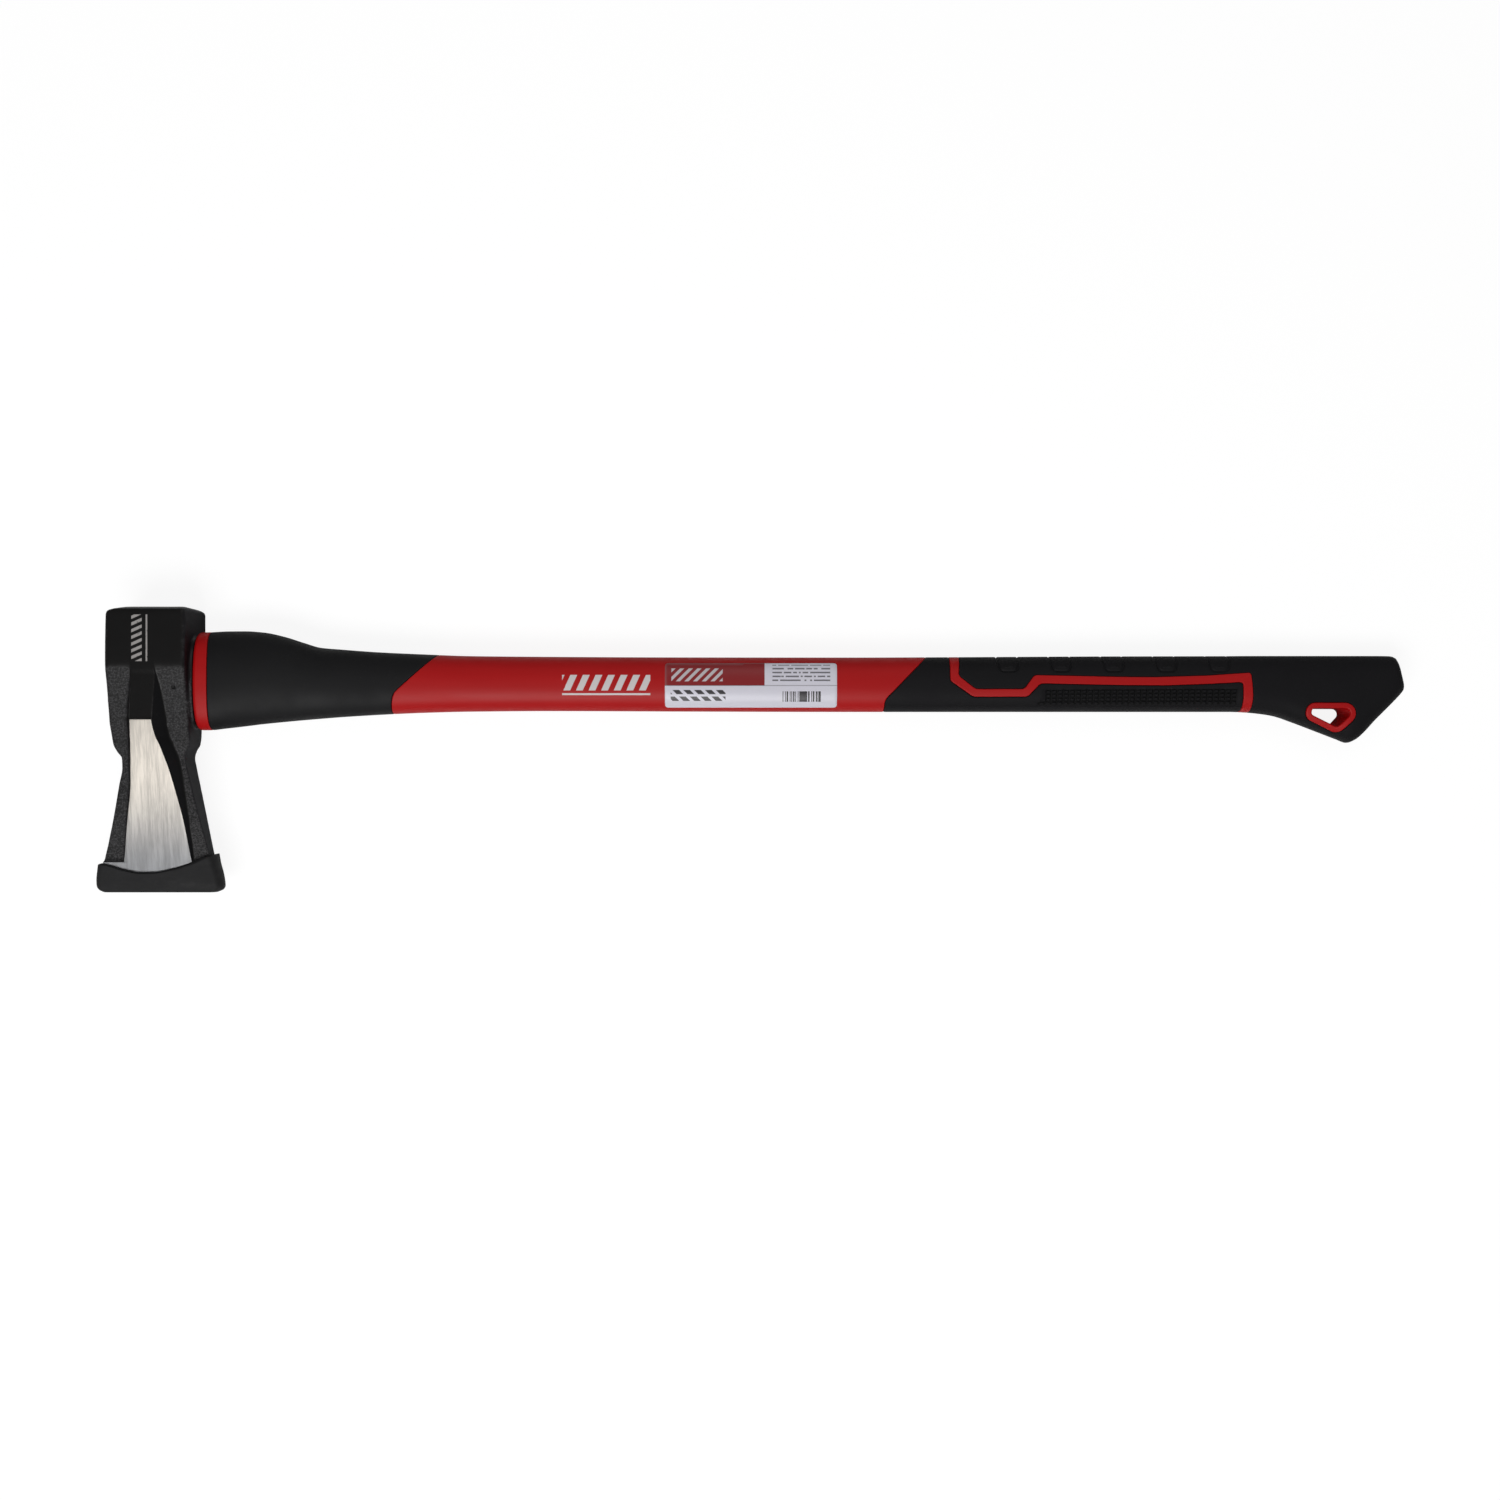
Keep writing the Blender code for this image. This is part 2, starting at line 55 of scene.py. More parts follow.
# How the tool lies on its side, as in the solids.
HEAD_HALF = 23.5
HEAD_FACE_X = -388.0
KNOB_REST_X = 438.0
KNOB_HALF = 14.3
REST_TILT = math.atan2(HEAD_HALF - KNOB_HALF, KNOB_REST_X - HEAD_FACE_X)
REST_HEIGHT = HEAD_HALF * math.cos(REST_TILT) + HEAD_FACE_X * math.sin(REST_TILT)
REST = Matrix.Translation((0.0, 0.0, REST_HEIGHT * MM)) @ Matrix.Rotation(REST_TILT, 4, "Y")

# Handle: outer surface over jacket and grips, as x, top y, bottom y, half thickness, squareness.
HANDLE_STATIONS = np.array((
    (-385.0, 82.2, 13.9, 17.0, 2.4), (-378.0, 82.3, 13.9, 17.0, 2.4),
    (-366.0, 82.9, 15.1, 17.2, 2.4), (-353.0, 83.0, 16.6, 17.2, 2.4),
    (-340.0, 82.1, 18.2, 16.9, 2.4), (-326.0, 79.2, 19.6, 16.4, 2.4),
    (-312.0, 74.8, 20.9, 15.9, 2.4), (-300.0, 71.4, 21.9, 15.5, 2.4),
    (-286.0, 70.2, 23.0, 15.1, 2.4), (-260.0, 68.3, 24.6, 14.6, 2.4),
    (-230.0, 66.9, 26.0, 14.2, 2.4), (-195.0, 65.6, 26.9, 14.0, 2.4),
    (-140.0, 65.1, 27.3, 13.9, 2.4), (-50.0, 64.7, 27.0, 13.9, 2.4),
    (70.0, 64.6, 26.7, 14.0, 2.4), (150.0, 64.9, 26.7, 14.6, 2.5),
    (250.0, 65.4, 26.7, 15.0, 2.6), (335.0, 65.6, 26.7, 15.0, 2.7),
    (347.0, 65.7, 26.2, 15.0, 2.7), (357.0, 65.7, 25.2, 14.8, 2.7),
    (367.0, 65.7, 23.5, 14.6, 2.7), (380.0, 65.7, 19.1, 14.4, 2.7),
    (399.0, 65.7, 11.8, 14.3, 2.7), (411.0, 65.7, 7.2, 14.3, 2.7),
    (417.2, 65.7, 5.0, 14.3, 2.7), (421.5, 65.7, 6.5, 14.3, 2.7),
    (437.0, 65.7, 21.8, 14.3, 2.7), (446.0, 65.6, 30.9, 14.1, 2.7),
    (448.8, 65.0, 33.8, 13.6, 2.7), (450.6, 62.4, 35.6, 12.9, 2.6),
    (452.6, 55.0, 37.8, 11.4, 2.5), (454.4, 48.0, 40.3, 9.0, 2.4),
    (455.2, 44.6, 42.4, 5.0, 2.3),
))
FRONT_X = -385.2             # the shoulder ring's face on the eye rim
KNOB_END_X = 455.15
RING_ROUND = 2.6
GRIP_THICKNESS = 2.2         # of the soft grips over the jacket
EYE_SQUARENESS = 2.4         # of the head's eye and of the jacket's tongue in it
JACKET_END_X = 424.0

# Seams across the cheeks, from top to bottom, between the red bands and the soft grips.
RING_SEAM = ((-376.4, 96.0), (-376.4, 83.0), (-375.2, 66.0), (-375.0, 48.0), (-375.2, 30.0),
             (-375.8, 13.0), (-375.8, -4.0))
COLLAR_SEAM = ((-185.0, 96.0), (-246.1, 40.1), (-247.9, 36.0), (-249.2, 26.0), (-249.4, -4.0))
GRIP_SEAM = ((129.4, 72.0), (93.6, 34.6), (93.2, 27.0), (93.0, -4.0))
RIB_OUTER_SEAM = ((146.2, 72.0), (144.3, 51.7), (156.2, 42.3), (189.7, 42.3), (196.8, 52.1), (255.7, 50.8),
                  (279.2, 50.6), (316.5, 51.7), (346.6, 53.8), (347.6, 45.0), (348.2, 36.0), (347.8, 27.0),
                  (347.0, -4.0))
RIB_INNER_SEAM = ((138.7, 72.0), (138.4, 48.0), (154.5, 36.6), (192.2, 36.7), (200.9, 46.0), (255.7, 44.8),
                  (287.5, 44.6), (316.5, 45.6), (340.9, 46.9), (341.4, 37.0), (341.3, 27.0), (340.8, -4.0))

# Lanyard hole: corners with their radii, and the red rim round it.
LANYARD_CORNERS = ((389.0, 24.4, 2.2), (407.2, 15.5, 2.8), (420.4, 28.9, 3.6), (389.0, 28.9, 2.2))
EYELET_RIM = 3.9
RIM_RISE = 0.22
HOLE_ROUND = 0.9

# Finger pads over the back grip's top: outlined by grooves, each with a small raised bar near its end.
PAD_FIRST_X = 179.2
PAD_PITCH = 36.5
PAD_COUNT = 5
PAD_TOP_HALF = 7.35
PAD_LOW_HALF = 5.6
PAD_LOW_Y = 54.6
PAD_GROOVE_HALF = 1.0
PAD_GROOVE_DEPTH = 0.85
BAR_Y = 57.3
BAR_HALF = (3.3, 0.75)
BAR_RISE = 0.4

# Nub panel on the belly grip, and the crease under it.
NUB_PITCH = (4.15, 2.65)
NUB_FIRST = (202.9, 32.6)    # centre of the lowest row's first nub
NUB_ROWS = 4
NUB_END_X = 337.0
NUB_SLANT = 0.62             # how far each millimetre of rise moves the panel's left edge
NUB_RISE = 0.75
NUB_SUNK = 0.4              # how far the floor between the nubs lies below the grip
CREASE_Y = 30.4
CREASE_X = (100.0, 339.0)
CREASE_HALF = 0.55
CREASE_DEPTH = 0.45

EDGE_ROUND = 0.55            # rounding of each band's edge at a seam
RED_EDGE_ROUND = 0.45
FLASH_RISE = 0.1             # the mould's parting line along top and bottom
FLASH_HALF = 0.35


# ---------------------------------------------------------------- mesh helpers

def place(points):
    """Tool-frame millimetres to the frame's metres."""
    points = np.asarray(points, float) * MM
    rotation = np.array(REST.to_3x3())
    return points @ rotation.T + np.array(REST.translation)


def new_object(name, points, faces, materials=(), face_materials=None, marks=None, closed=True,
               sharp_angle=38.0):
    """A mesh object from points in metres, with each mark's values kept at its points."""
    mesh = bpy.data.meshes.new(name)
    mesh.from_pydata(np.asarray(points, float).tolist(), [], [tuple(map(int, face)) for face in faces])
    for material in materials:
        mesh.materials.append(material)
    if face_materials is not None:
        mesh.polygons.foreach_set("material_index", np.asarray(face_materials, np.int32))
    for mark, values in (marks or {}).items():
        values = np.asarray(values, np.float32)
        kind, field = ("FLOAT", "value") if values.ndim == 1 else ("FLOAT_VECTOR", "vector")
        mesh.attributes.new(mark, kind, "POINT").data.foreach_set(field, values.ravel())
    if closed:
        close_outwards(mesh)
    mesh.shade_smooth()
    mesh.set_sharp_from_angle(angle=math.radians(sharp_angle))
    return add_object(name, mesh)


def add_object(name, data):
    made = bpy.data.objects.new(name, data)
    bpy.context.scene.collection.objects.link(made)
    return made


def add_piece(name, points, faces, materials, node, slot, body="maul", marks=None, **settings):
    """A piece given in the tool's frame, riding on a body in place of a CAD node."""
    marks = {"tool": points, **(marks or {})}
    piece = new_object(name, place(points), faces, materials, marks=marks, **settings)
    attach(piece, body)
    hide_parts(node)


def close_outwards(mesh):
    """Fills any pinhole and turns every face outwards."""
    tidy = bmesh.new()
    tidy.from_mesh(mesh)
    bmesh.ops.holes_fill(tidy, edges=[edge for edge in tidy.edges if edge.is_boundary], sides=0)
    bmesh.ops.recalc_face_normals(tidy, faces=tidy.faces)
    tidy.to_mesh(mesh)
    tidy.free()


def loft(rings, closed_ends=True):
    """Points and quad faces of a tube through rings of equal length."""
    count = len(rings[0])
    last = (len(rings) - 1) * count
    faces = [(row + side, row + (side + 1) % count, row + count + (side + 1) % count, row + count + side)
             for row in range(0, last, count) for side in range(count)]
    if closed_ends:
        faces += [tuple(reversed(range(count))), tuple(range(last, last + count))]
    return np.concatenate(rings), faces


def monotone(keys, xs):
    """Cubic curves through key rows, first column the parameter, that don't overshoot between them."""
    keys = np.asarray(keys, float)
    x, values = keys[:, 0], keys[:, 1:]
    rises = np.diff(values, axis=0) / np.diff(x)[:, None]
    product = rises[:-1] * rises[1:]
    same_way = product > 0.0
    middle = np.where(same_way, 2.0 * product / np.where(same_way, rises[:-1] + rises[1:], 1.0), 0.0)
    slopes = np.vstack([rises[:1], middle, rises[-1:]])
    xs = np.clip(xs, x[0], x[-1])
    index = np.clip(np.searchsorted(x, xs, side="right") - 1, 0, len(x) - 2)
    length = (x[index + 1] - x[index])[:, None]
    along = ((xs - x[index])[:, None]) / length
    return (values[index] * (1.0 + 2.0 * along) * (1.0 - along) ** 2
            + values[index + 1] * along ** 2 * (3.0 - 2.0 * along)
            + slopes[index] * length * along * (1.0 - along) ** 2
            - slopes[index + 1] * length * along ** 2 * (1.0 - along))


def smooth_step(low, high, values):
    along = np.clip((np.asarray(values, float) - low) / (high - low), 0.0, 1.0)
    return along * along * (3.0 - 2.0 * along)


def fade(low, high, values):
    return 1.0 - smooth_step(low, high, values)


def superellipse(top, bottom, half_z, squareness, angles):
    """Y and Z of a section at angles from its top line."""
    across, through = np.cos(angles), np.sin(angles)
    power = 2.0 / squareness
    return ((top + bottom) / 2.0 + (top - bottom) / 2.0 * np.sign(across) * np.abs(across) ** power,
            half_z * np.sign(through) * np.abs(through) ** power)


def travel(*columns):
    """How far along a row of points each one lies."""
    steps = np.sqrt(sum(np.diff(column) ** 2 for column in columns))
    return np.concatenate([[0.0], np.cumsum(steps)])


def spread(points, count, endpoint=True):
    """Points spaced evenly along a row of points."""
    travelled = travel(*points.T)
    wanted = np.linspace(0.0, travelled[-1], count, endpoint=endpoint)
    return np.column_stack([np.interp(wanted, travelled, column) for column in points.T])


def oval(x, centre_y, half_y, half_z, squareness, count):
    """A full superellipse across X, its points evenly spaced along it."""
    angles = np.linspace(0.0, 2 * math.pi, 1441)
    y, z = superellipse(centre_y + half_y, centre_y - half_y, half_z, squareness, angles)
    return np.column_stack([np.full(count, x), spread(np.column_stack([y, z]), count, endpoint=False)])


# ---------------------------------------------------------------- the handle's outer surface
# A place on the near half is x with t, the share of the way round from the top line (0) to the bottom line
# (1). "Flat" coordinates are x and the distance round from the top line, so lengths there are nearly real.

TABLE_X = np.linspace(FRONT_X, KNOB_END_X, 3363)
TABLE_T = np.linspace(0.0, 1.0, 161)
TABLE_ANGLE = np.linspace(0.0, math.pi, 721)


def tabulate_sections():
    y, z = superellipse(*(column[:, None] for column in monotone(HANDLE_STATIONS, TABLE_X).T), TABLE_ANGLE)
    travelled = np.array([travel(*row) for row in zip(y, z)])
    shares = travelled / travelled[:, -1:]
    y_at, z_at = (np.array([np.interp(TABLE_T, share, row) for share, row in zip(shares, rows)])
                  for rows in (y, z))
    return y_at, z_at, travelled[:, -1], shares


TABLE_Y, TABLE_Z, TABLE_LENGTH, TABLE_SHARE = tabulate_sections()


def sample(table, first_axis, second_axis, first, second):
    """Bilinear reading of an evenly spaced table."""
    places = [np.clip((values - axis[0]) / (axis[1] - axis[0]), 0.0, len(axis) - 1.001)
              for values, axis in ((first, first_axis), (second, second_axis))]
    row, column = (place.astype(int) for place in places)
    down, over = places[0] - row, places[1] - column
    return (table[row, column] * (1 - down) * (1 - over) + table[row + 1, column] * down * (1 - over)
            + table[row, column + 1] * (1 - down) * over + table[row + 1, column + 1] * down * over)


def girth(x):
    return np.interp(x, TABLE_X, TABLE_LENGTH)


def surface_points(x, t):
    return np.column_stack([x] + [sample(table, TABLE_X, TABLE_T, x, t) for table in (TABLE_Y, TABLE_Z)])


def surface(x, t, rise):
    """Points of the near half's surface, lifted along its outward normal."""
    step_x, step_t = 0.4, 0.008
    after, before = np.minimum(t + step_t, 1.0), np.maximum(t - step_t, 0.0)
    normal = np.cross(surface_points(x + step_x, t) - surface_points(x - step_x, t),
                      surface_points(x, after) - surface_points(x, before))
    normal /= np.linalg.norm(normal, axis=1)[:, None]
    middle = np.interp(x, TABLE_X, (TABLE_Y[:, 0] + TABLE_Y[:, -1]) / 2.0)
    points = surface_points(x, t)
    outward = (points - np.column_stack([x, middle, np.zeros(len(x))])) * (0.0, 1.0, 1.0)
    normal *= np.sign((normal * outward).sum(1) + 1e-12)[:, None]
    points += normal * np.asarray(rise)[:, None]
    points[(t < 1e-6) | (t > 1.0 - 1e-6), 2] = 0.0
    return points


def flat_from_side(outline):
    """Places given as x and y on the near side, in flat coordinates."""
    outline = np.asarray(outline, float)
    top, bottom, _, squareness = monotone(HANDLE_STATIONS, outline[:, 0]).T
    across = np.clip((outline[:, 1] - (top + bottom) / 2.0) / ((top - bottom) / 2.0), -1.0, 1.0)
    angle = np.arccos(np.sign(across) * np.abs(across) ** (squareness / 2.0))
    share = sample(TABLE_SHARE, TABLE_X, TABLE_ANGLE, outline[:, 0], angle)
    share = np.where(across >= 1.0, 0.0, np.where(across <= -1.0, 1.0, share))
    return np.column_stack([outline[:, 0], share * girth(outline[:, 0])])


# Sheets are triangulated in a plane of x, stretched at the knob's steep end, and t times SHEET_SPAN.
SHEET_SPAN = 65.0


def stretch_table():
    top, bottom = monotone(HANDLE_STATIONS, TABLE_X).T[:2]
    slope = np.maximum(np.abs(np.gradient(top, TABLE_X)), np.abs(np.gradient(bottom, TABLE_X)))
    rate = np.where(TABLE_X > 446.0, np.sqrt(1.0 + slope ** 2), 1.0)
    steps = (rate[1:] + rate[:-1]) / 2.0 * np.diff(TABLE_X)
    return TABLE_X[0] + np.concatenate([[0.0], np.cumsum(steps)])


TABLE_STRETCHED = stretch_table()


def plane_from_flat(flat):
    return np.column_stack([np.interp(flat[:, 0], TABLE_X, TABLE_STRETCHED),
                            flat[:, 1] / girth(flat[:, 0]) * SHEET_SPAN])


def flat_from_plane(plane):
    x = np.interp(plane[:, 0], TABLE_STRETCHED, TABLE_X)
    return np.column_stack([x, plane[:, 1] / SHEET_SPAN * girth(x)])


# ---------------------------------------------------------------- paths on the surface

def rounded_path(corners, reach, closed=False):
    """A path in x and y whose corners become short curves, starting reach before each corner."""
    corners = [np.array(corner, float) for corner in corners]
    path = [] if closed else [corners[0]]
    for index in range(0 if closed else 1, len(corners) - (0 if closed else 1)):
        corner = corners[index]
        sides = [corners[index - 1] - corner, corners[(index + 1) % len(corners)] - corner]
        start, end = (corner + side * min(0.48, reach / np.linalg.norm(side)) for side in sides)
        for along in np.linspace(0.0, 1.0, 9):
            path.append(start * (1 - along) ** 2 + corner * 2 * along * (1 - along) + end * along ** 2)
    return np.array(path + [path[0] if closed else corners[-1]])


def resample(path, pitch):
    return spread(path, max(2, int(round(travel(*path.T)[-1] / pitch)) + 1))


def surface_path(corners, reach, pitch=1.1):
    """A seam given across the cheeks, as an evenly spaced path in flat coordinates on the near half."""
    flat = flat_from_side(resample(rounded_path(corners, reach), 0.1))
    share = flat[:, 1] / girth(flat[:, 0])
    kept = np.flatnonzero((share > 0.0) & (share < 1.0))
    return resample(flat[max(kept[0] - 1, 0):kept[-1] + 2], pitch)


def offset_rows(path, offsets, closed=False):
    """The path moved sideways by each offset, its ends kept on the parting lines if they lie there."""
    tangents = np.gradient(path, axis=0)
    if closed:
        tangents[0] = tangents[-1] = path[1] - path[-2]
    tangents /= np.linalg.norm(tangents, axis=1)[:, None]
    normals = np.column_stack([tangents[:, 1], -tangents[:, 0]])
    on_top, on_bottom = np.abs(path[:, 1]) < 1e-6, np.abs(path[:, 1] - girth(path[:, 0])) < 1e-3
    ends = [end for end in (0, -1) if not closed and (on_top | on_bottom)[end]]
    if ends:
        normals[[0, -1]] = (1.0, 0.0)
    rows = []
    for offset in offsets:
        row = path + normals * offset
        for end in ends:
            row[end, 1] = 0.0 if on_top[end] else girth(row[end, 0])
        rows.append(row)
    return rows


def distance_to(points, path):
    """Least distance from each flat point to a path, for those within reach of it."""
    found = np.full(len(points), 1e9)
    near = np.flatnonzero(((points >= path.min(0) - 6.0) & (points <= path.max(0) + 6.0)).all(1))
    start, step = path[:-1], np.diff(path, axis=0)
    squared = (step ** 2).sum(1) + 1e-12
    for chunk in np.array_split(near, len(near) * len(start) // 2000000 + 1):
        offset = points[chunk][:, None, :] - start[None]
        along = np.clip((offset * step[None]).sum(2) / squared, 0.0, 1.0)
        gap = offset - along[:, :, None] * step[None]
        found[chunk] = np.sqrt((gap ** 2).sum(2)).min(1, initial=1e9)
    return found


def inside(points, outline):
    """Which points lie in a closed outline."""
    x, y = points[:, 0], points[:, 1]
    held = np.zeros(len(points), bool)
    for (ax, ay), (bx, by) in zip(outline, np.roll(outline, -1, axis=0)):
        crosses = (ay > y) != (by > y)
        if crosses.any():
            at = ax + (y - ay) / (by - ay if by != ay else 1e-12) * (bx - ax)
            held ^= crosses & (x < at)
    return held


RING_PATH = surface_path(RING_SEAM, 6.0)
COLLAR_PATH = surface_path(COLLAR_SEAM, 3.0)
GRIP_PATH = surface_path(GRIP_SEAM, 3.0)
RIB_OUTER_PATH = surface_path(RIB_OUTER_SEAM, 2.2)
RIB_INNER_PATH = surface_path(RIB_INNER_SEAM, 2.2)
FRONT_PATH = np.array([(FRONT_X, 0.0), (FRONT_X, girth(FRONT_X))])
END_PATH = np.array([(KNOB_END_X, 0.0), (KNOB_END_X, girth(KNOB_END_X))])


def grown_outline(corners, grow, steps=7):
    """The lanyard hole's outline, counter-clockwise, with its corners as arcs, grown outwards."""
    sharp = [np.array(corner[:2]) for corner in corners]
    outline = []
    for index, (corner, (_, _, radius)) in enumerate(zip(sharp, corners)):
        back, ahead = (side / np.linalg.norm(side)
                       for side in (sharp[index - 1] - corner, sharp[(index + 1) % len(sharp)] - corner))
        half_angle = math.acos(np.clip(back @ ahead, -1, 1)) / 2.0
        bisector = (back + ahead) / np.linalg.norm(back + ahead)
        centre = corner + bisector * radius / math.sin(half_angle)
        across, up = corner + back * (radius / math.tan(half_angle)) - centre
        for angle in np.linspace(0.0, math.pi - 2.0 * half_angle, steps + 1):
            turned = np.array((across * math.cos(angle) - up * math.sin(angle),
                               across * math.sin(angle) + up * math.cos(angle)))
            outline.append(centre + turned * (radius + grow) / radius)
    return np.array(outline + outline[:1])


def closed_surface_path(outline, pitch):
    return resample(flat_from_side(resample(outline, 0.1)), pitch)


HOLE_PATH = closed_surface_path(grown_outline(LANYARD_CORNERS, 0.0), 0.7)
RIM_PATH = closed_surface_path(grown_outline(LANYARD_CORNERS, EYELET_RIM + HALF_GAP), 0.9)


def between(left, right):
    """The closed outline, in the sheet plane, between two seams."""
    return np.concatenate([plane_from_flat(left), plane_from_flat(right)[::-1]])


RIM_REGION = plane_from_flat(RIM_PATH[:-1])
RED_REGIONS = (between(FRONT_PATH, RING_PATH), between(COLLAR_PATH, GRIP_PATH),
               between(RIB_INNER_PATH, RIB_OUTER_PATH), RIM_REGION)


# ---------------------------------------------------------------- sheets

FINE_PITCH = 1.9             # of a visible sheet's points, round the handle
COARSE_PITCH = (6.0, 5.0)    # of a hidden sheet's points, along and round the handle


def grid_shares(pitch):
    """Evenly spaced shares round the near half, with extra ones beside the parting lines."""
    count = int(round(SHEET_SPAN / pitch))
    shares = np.linspace(0.0, 1.0, count + 1)
    close = FLASH_HALF / SHEET_SPAN
    return np.unique(np.concatenate([shares, [close, 1.0 - close, 2.2 * close, 1.0 - 2.2 * close]]))


def grid_points(first_x, last_x, pitch_x, pitch_w):
    """Grid points in the sheet plane."""
    low, high = np.interp([first_x, last_x], TABLE_X, TABLE_STRETCHED)
    columns = np.linspace(low, high, max(2, int(round((high - low) / pitch_x)) + 1))
    return columns_by_shares(columns, grid_shares(pitch_w))


def columns_by_shares(columns, shares):
    return np.array([(column, share * SHEET_SPAN) for column in columns for share in shares])


def triangulate(points, chains, keep):
    """Triangles over plane points, holding to each chain of points, where keep() says so."""
    edges, first = [], len(points)
    for chain in chains:
        edges += [(first + step, first + step + 1) for step in range(len(chain) - 1)]
        first += len(chain)
    points = [Vector(point) for point in np.concatenate([points] + chains)]
    found = delaunay_2d_cdt(points, edges, [], 0, 1e-4, False)
    plane = np.array([tuple(vert) for vert in found[0]], float)
    faces = np.array([face for face in found[2] if len(face) == 3], int)
    sides = plane[faces]
    areas = np.abs(np.cross(sides[:, 1] - sides[:, 0], sides[:, 2] - sides[:, 0]))
    used, renumbered = np.unique(faces[keep(sides.mean(1)) & (areas > 1e-7)], return_inverse=True)
    return plane[used], renumbered.reshape(-1, 3)


def spare_points(points, paths, clearance):
    """Plane points that stay clear of the paths."""
    flat = flat_from_plane(points)
    held = np.ones(len(points), bool)
    for path in paths:
        held &= distance_to(flat, path) > clearance
    return points[held]


def thin_out(rows, path, offsets):
    """Drops row points that another stretch of the same path comes nearer to than their own offset."""
    return [row[distance_to(row, path) > abs(offset) - 0.02] for row, offset in zip(rows, offsets)]


def shares_of(plane):
    t = plane[:, 1] / SHEET_SPAN
    return flat_from_plane(plane), np.where(t < 1e-5, 0.0, np.where(t > 1.0 - 1e-5, 1.0, t))


def boundary_edges(faces):
    edges = np.concatenate([faces[:, (0, 1)], faces[:, (1, 2)], faces[:, (2, 0)]])
    _, index, count = np.unique(np.sort(edges, axis=1), axis=0, return_index=True, return_counts=True)
    return edges[index[count == 1]]


def mirrored(points, faces):
    """The near half with its mirror image beyond the middle plane, joined along it."""
    off_plane = np.abs(points[:, 2]) >= 1e-9
    far_index = np.arange(len(points))
    far_index[off_plane] = len(points) + np.arange(off_plane.sum())
    far_faces = [tuple(far_index[list(reversed(face))]) for face in faces]
    return np.concatenate([points, points[off_plane] * (1.0, 1.0, -1.0)]), list(faces) + far_faces


def edge_fall(distance, radius):
    """How far a rounded edge has fallen at a distance in from it."""
    short = np.clip(radius - distance, 0.0, radius)
    return radius - np.sqrt(np.maximum(radius ** 2 - short ** 2, 0.0))


EDGE_STEPS = (0.0, 0.04, 0.16, 0.33, 0.55, 0.95)


def side_rows(path, side, steps, closed=False):
    """Rows of points beside a seam, the first at the gap's edge, on the side given by its sign."""
    offsets = [side * (HALF_GAP + step) for step in steps]
    rows = offset_rows(path, offsets, closed)
    return rows[:1] + thin_out(rows[1:], path, offsets[1:])


def sheet(points, chains, keep, rise):
    """A triangulated sheet on the near half: its plane points, shares, points in space and faces."""
    plane, faces = triangulate(points, chains, keep)
    flat, t = shares_of(plane)
    return plane, t, surface(flat[:, 0], t, rise(flat)), faces


def level_at(height):
    return lambda flat: np.full(len(flat), height)


def half_shell(outer_points, inner_points, chains, keep, rise):
    """The near half of a grip: outer sheet, inner sheet, and walls along the chains."""
    plane, t, outer, faces = sheet(outer_points, chains, keep, rise)
    inner_plane, _, inner, inner_faces = sheet(inner_points, chains,
                                               lambda at: keep(at) & (at[:, 0] < JACKET_END_X + GAP),
                                               level_at(GAP - GRIP_THICKNESS))
    inner_at = {tuple(np.round(point, 3)): len(outer) + index for index, point in enumerate(inner_plane)}
    walls = []
    for a, b in boundary_edges(faces):
        low = [inner_at.get(tuple(np.round(plane[i], 3))) for i in (a, b)]
        if None not in low and not t[a] == t[b] in (0.0, 1.0):
            walls.append((a, b, low[1], low[0]))
    return np.concatenate([outer, inner]), [*faces, *(inner_faces[:, ::-1] + len(outer)), *walls]


# ---------------------------------------------------------------- details of the grips

def flash_rise(flat):
    """The fine ridge that the mould's two halves leave along the top and the bottom."""
    from_line = np.minimum(flat[:, 1], girth(flat[:, 0]) - flat[:, 1])
    return FLASH_RISE * fade(0.0, FLASH_HALF, from_line)


NUB_ROW_W = flat_from_side([(265.0, NUB_FIRST[1] + NUB_PITCH[1] * row) for row in range(NUB_ROWS)])[:, 1]
NUB_W_PITCH = abs(np.diff(NUB_ROW_W).mean())


def nub_columns(row):
    first = NUB_FIRST[0] + NUB_SLANT * NUB_PITCH[1] * row
    count = int((NUB_END_X - first) / NUB_PITCH[0]) + 1
    last = NUB_END_X - NUB_PITCH[0] / 2.0
    return [last - NUB_PITCH[0] * step for step in range(count)]


def nub_points():
    across = (-0.5, -0.36, -0.29, -0.21, 0.0, 0.21, 0.29, 0.36)
    down = (-0.5, -0.37, -0.29, -0.2, 0.2, 0.29, 0.37)
    return np.array([(x + u * NUB_PITCH[0], w + v * NUB_W_PITCH) for row, w in enumerate(NUB_ROW_W)
                     for x in nub_columns(row) for u in across for v in down])


def nub_rise(flat):
    rise = np.zeros(len(flat))
    for row, w in enumerate(NUB_ROW_W):
        columns = nub_columns(row)
        steps = (columns[0] - flat[:, 0]) / NUB_PITCH[0]
        u = np.abs(steps - np.clip(np.round(steps), 0, len(columns) - 1))
        v = np.abs(flat[:, 1] - w) / NUB_W_PITCH
        nub = NUB_RISE * fade(0.2, 0.37, u) * fade(0.19, 0.38, v)
        rise = np.where((v <= 0.5) & (u <= 0.5), nub - NUB_SUNK, rise)
    return rise


CREASE_PATH = surface_path(((CREASE_X[0], CREASE_Y), (200.0, CREASE_Y), (CREASE_X[1], CREASE_Y)), 2.0)


def crease_rise(flat):
    return -CREASE_DEPTH * fade(0.08, CREASE_HALF, distance_to(flat, CREASE_PATH))


def pad_path(x):
    side = ((PAD_TOP_HALF, 85.0), (PAD_TOP_HALF, 61.5), (PAD_LOW_HALF, PAD_LOW_Y))
    corners = [(x - half, y) for half, y in side] + [(x + half, y) for half, y in side[::-1]]
    return surface_path(corners, 2.6, pitch=0.9)


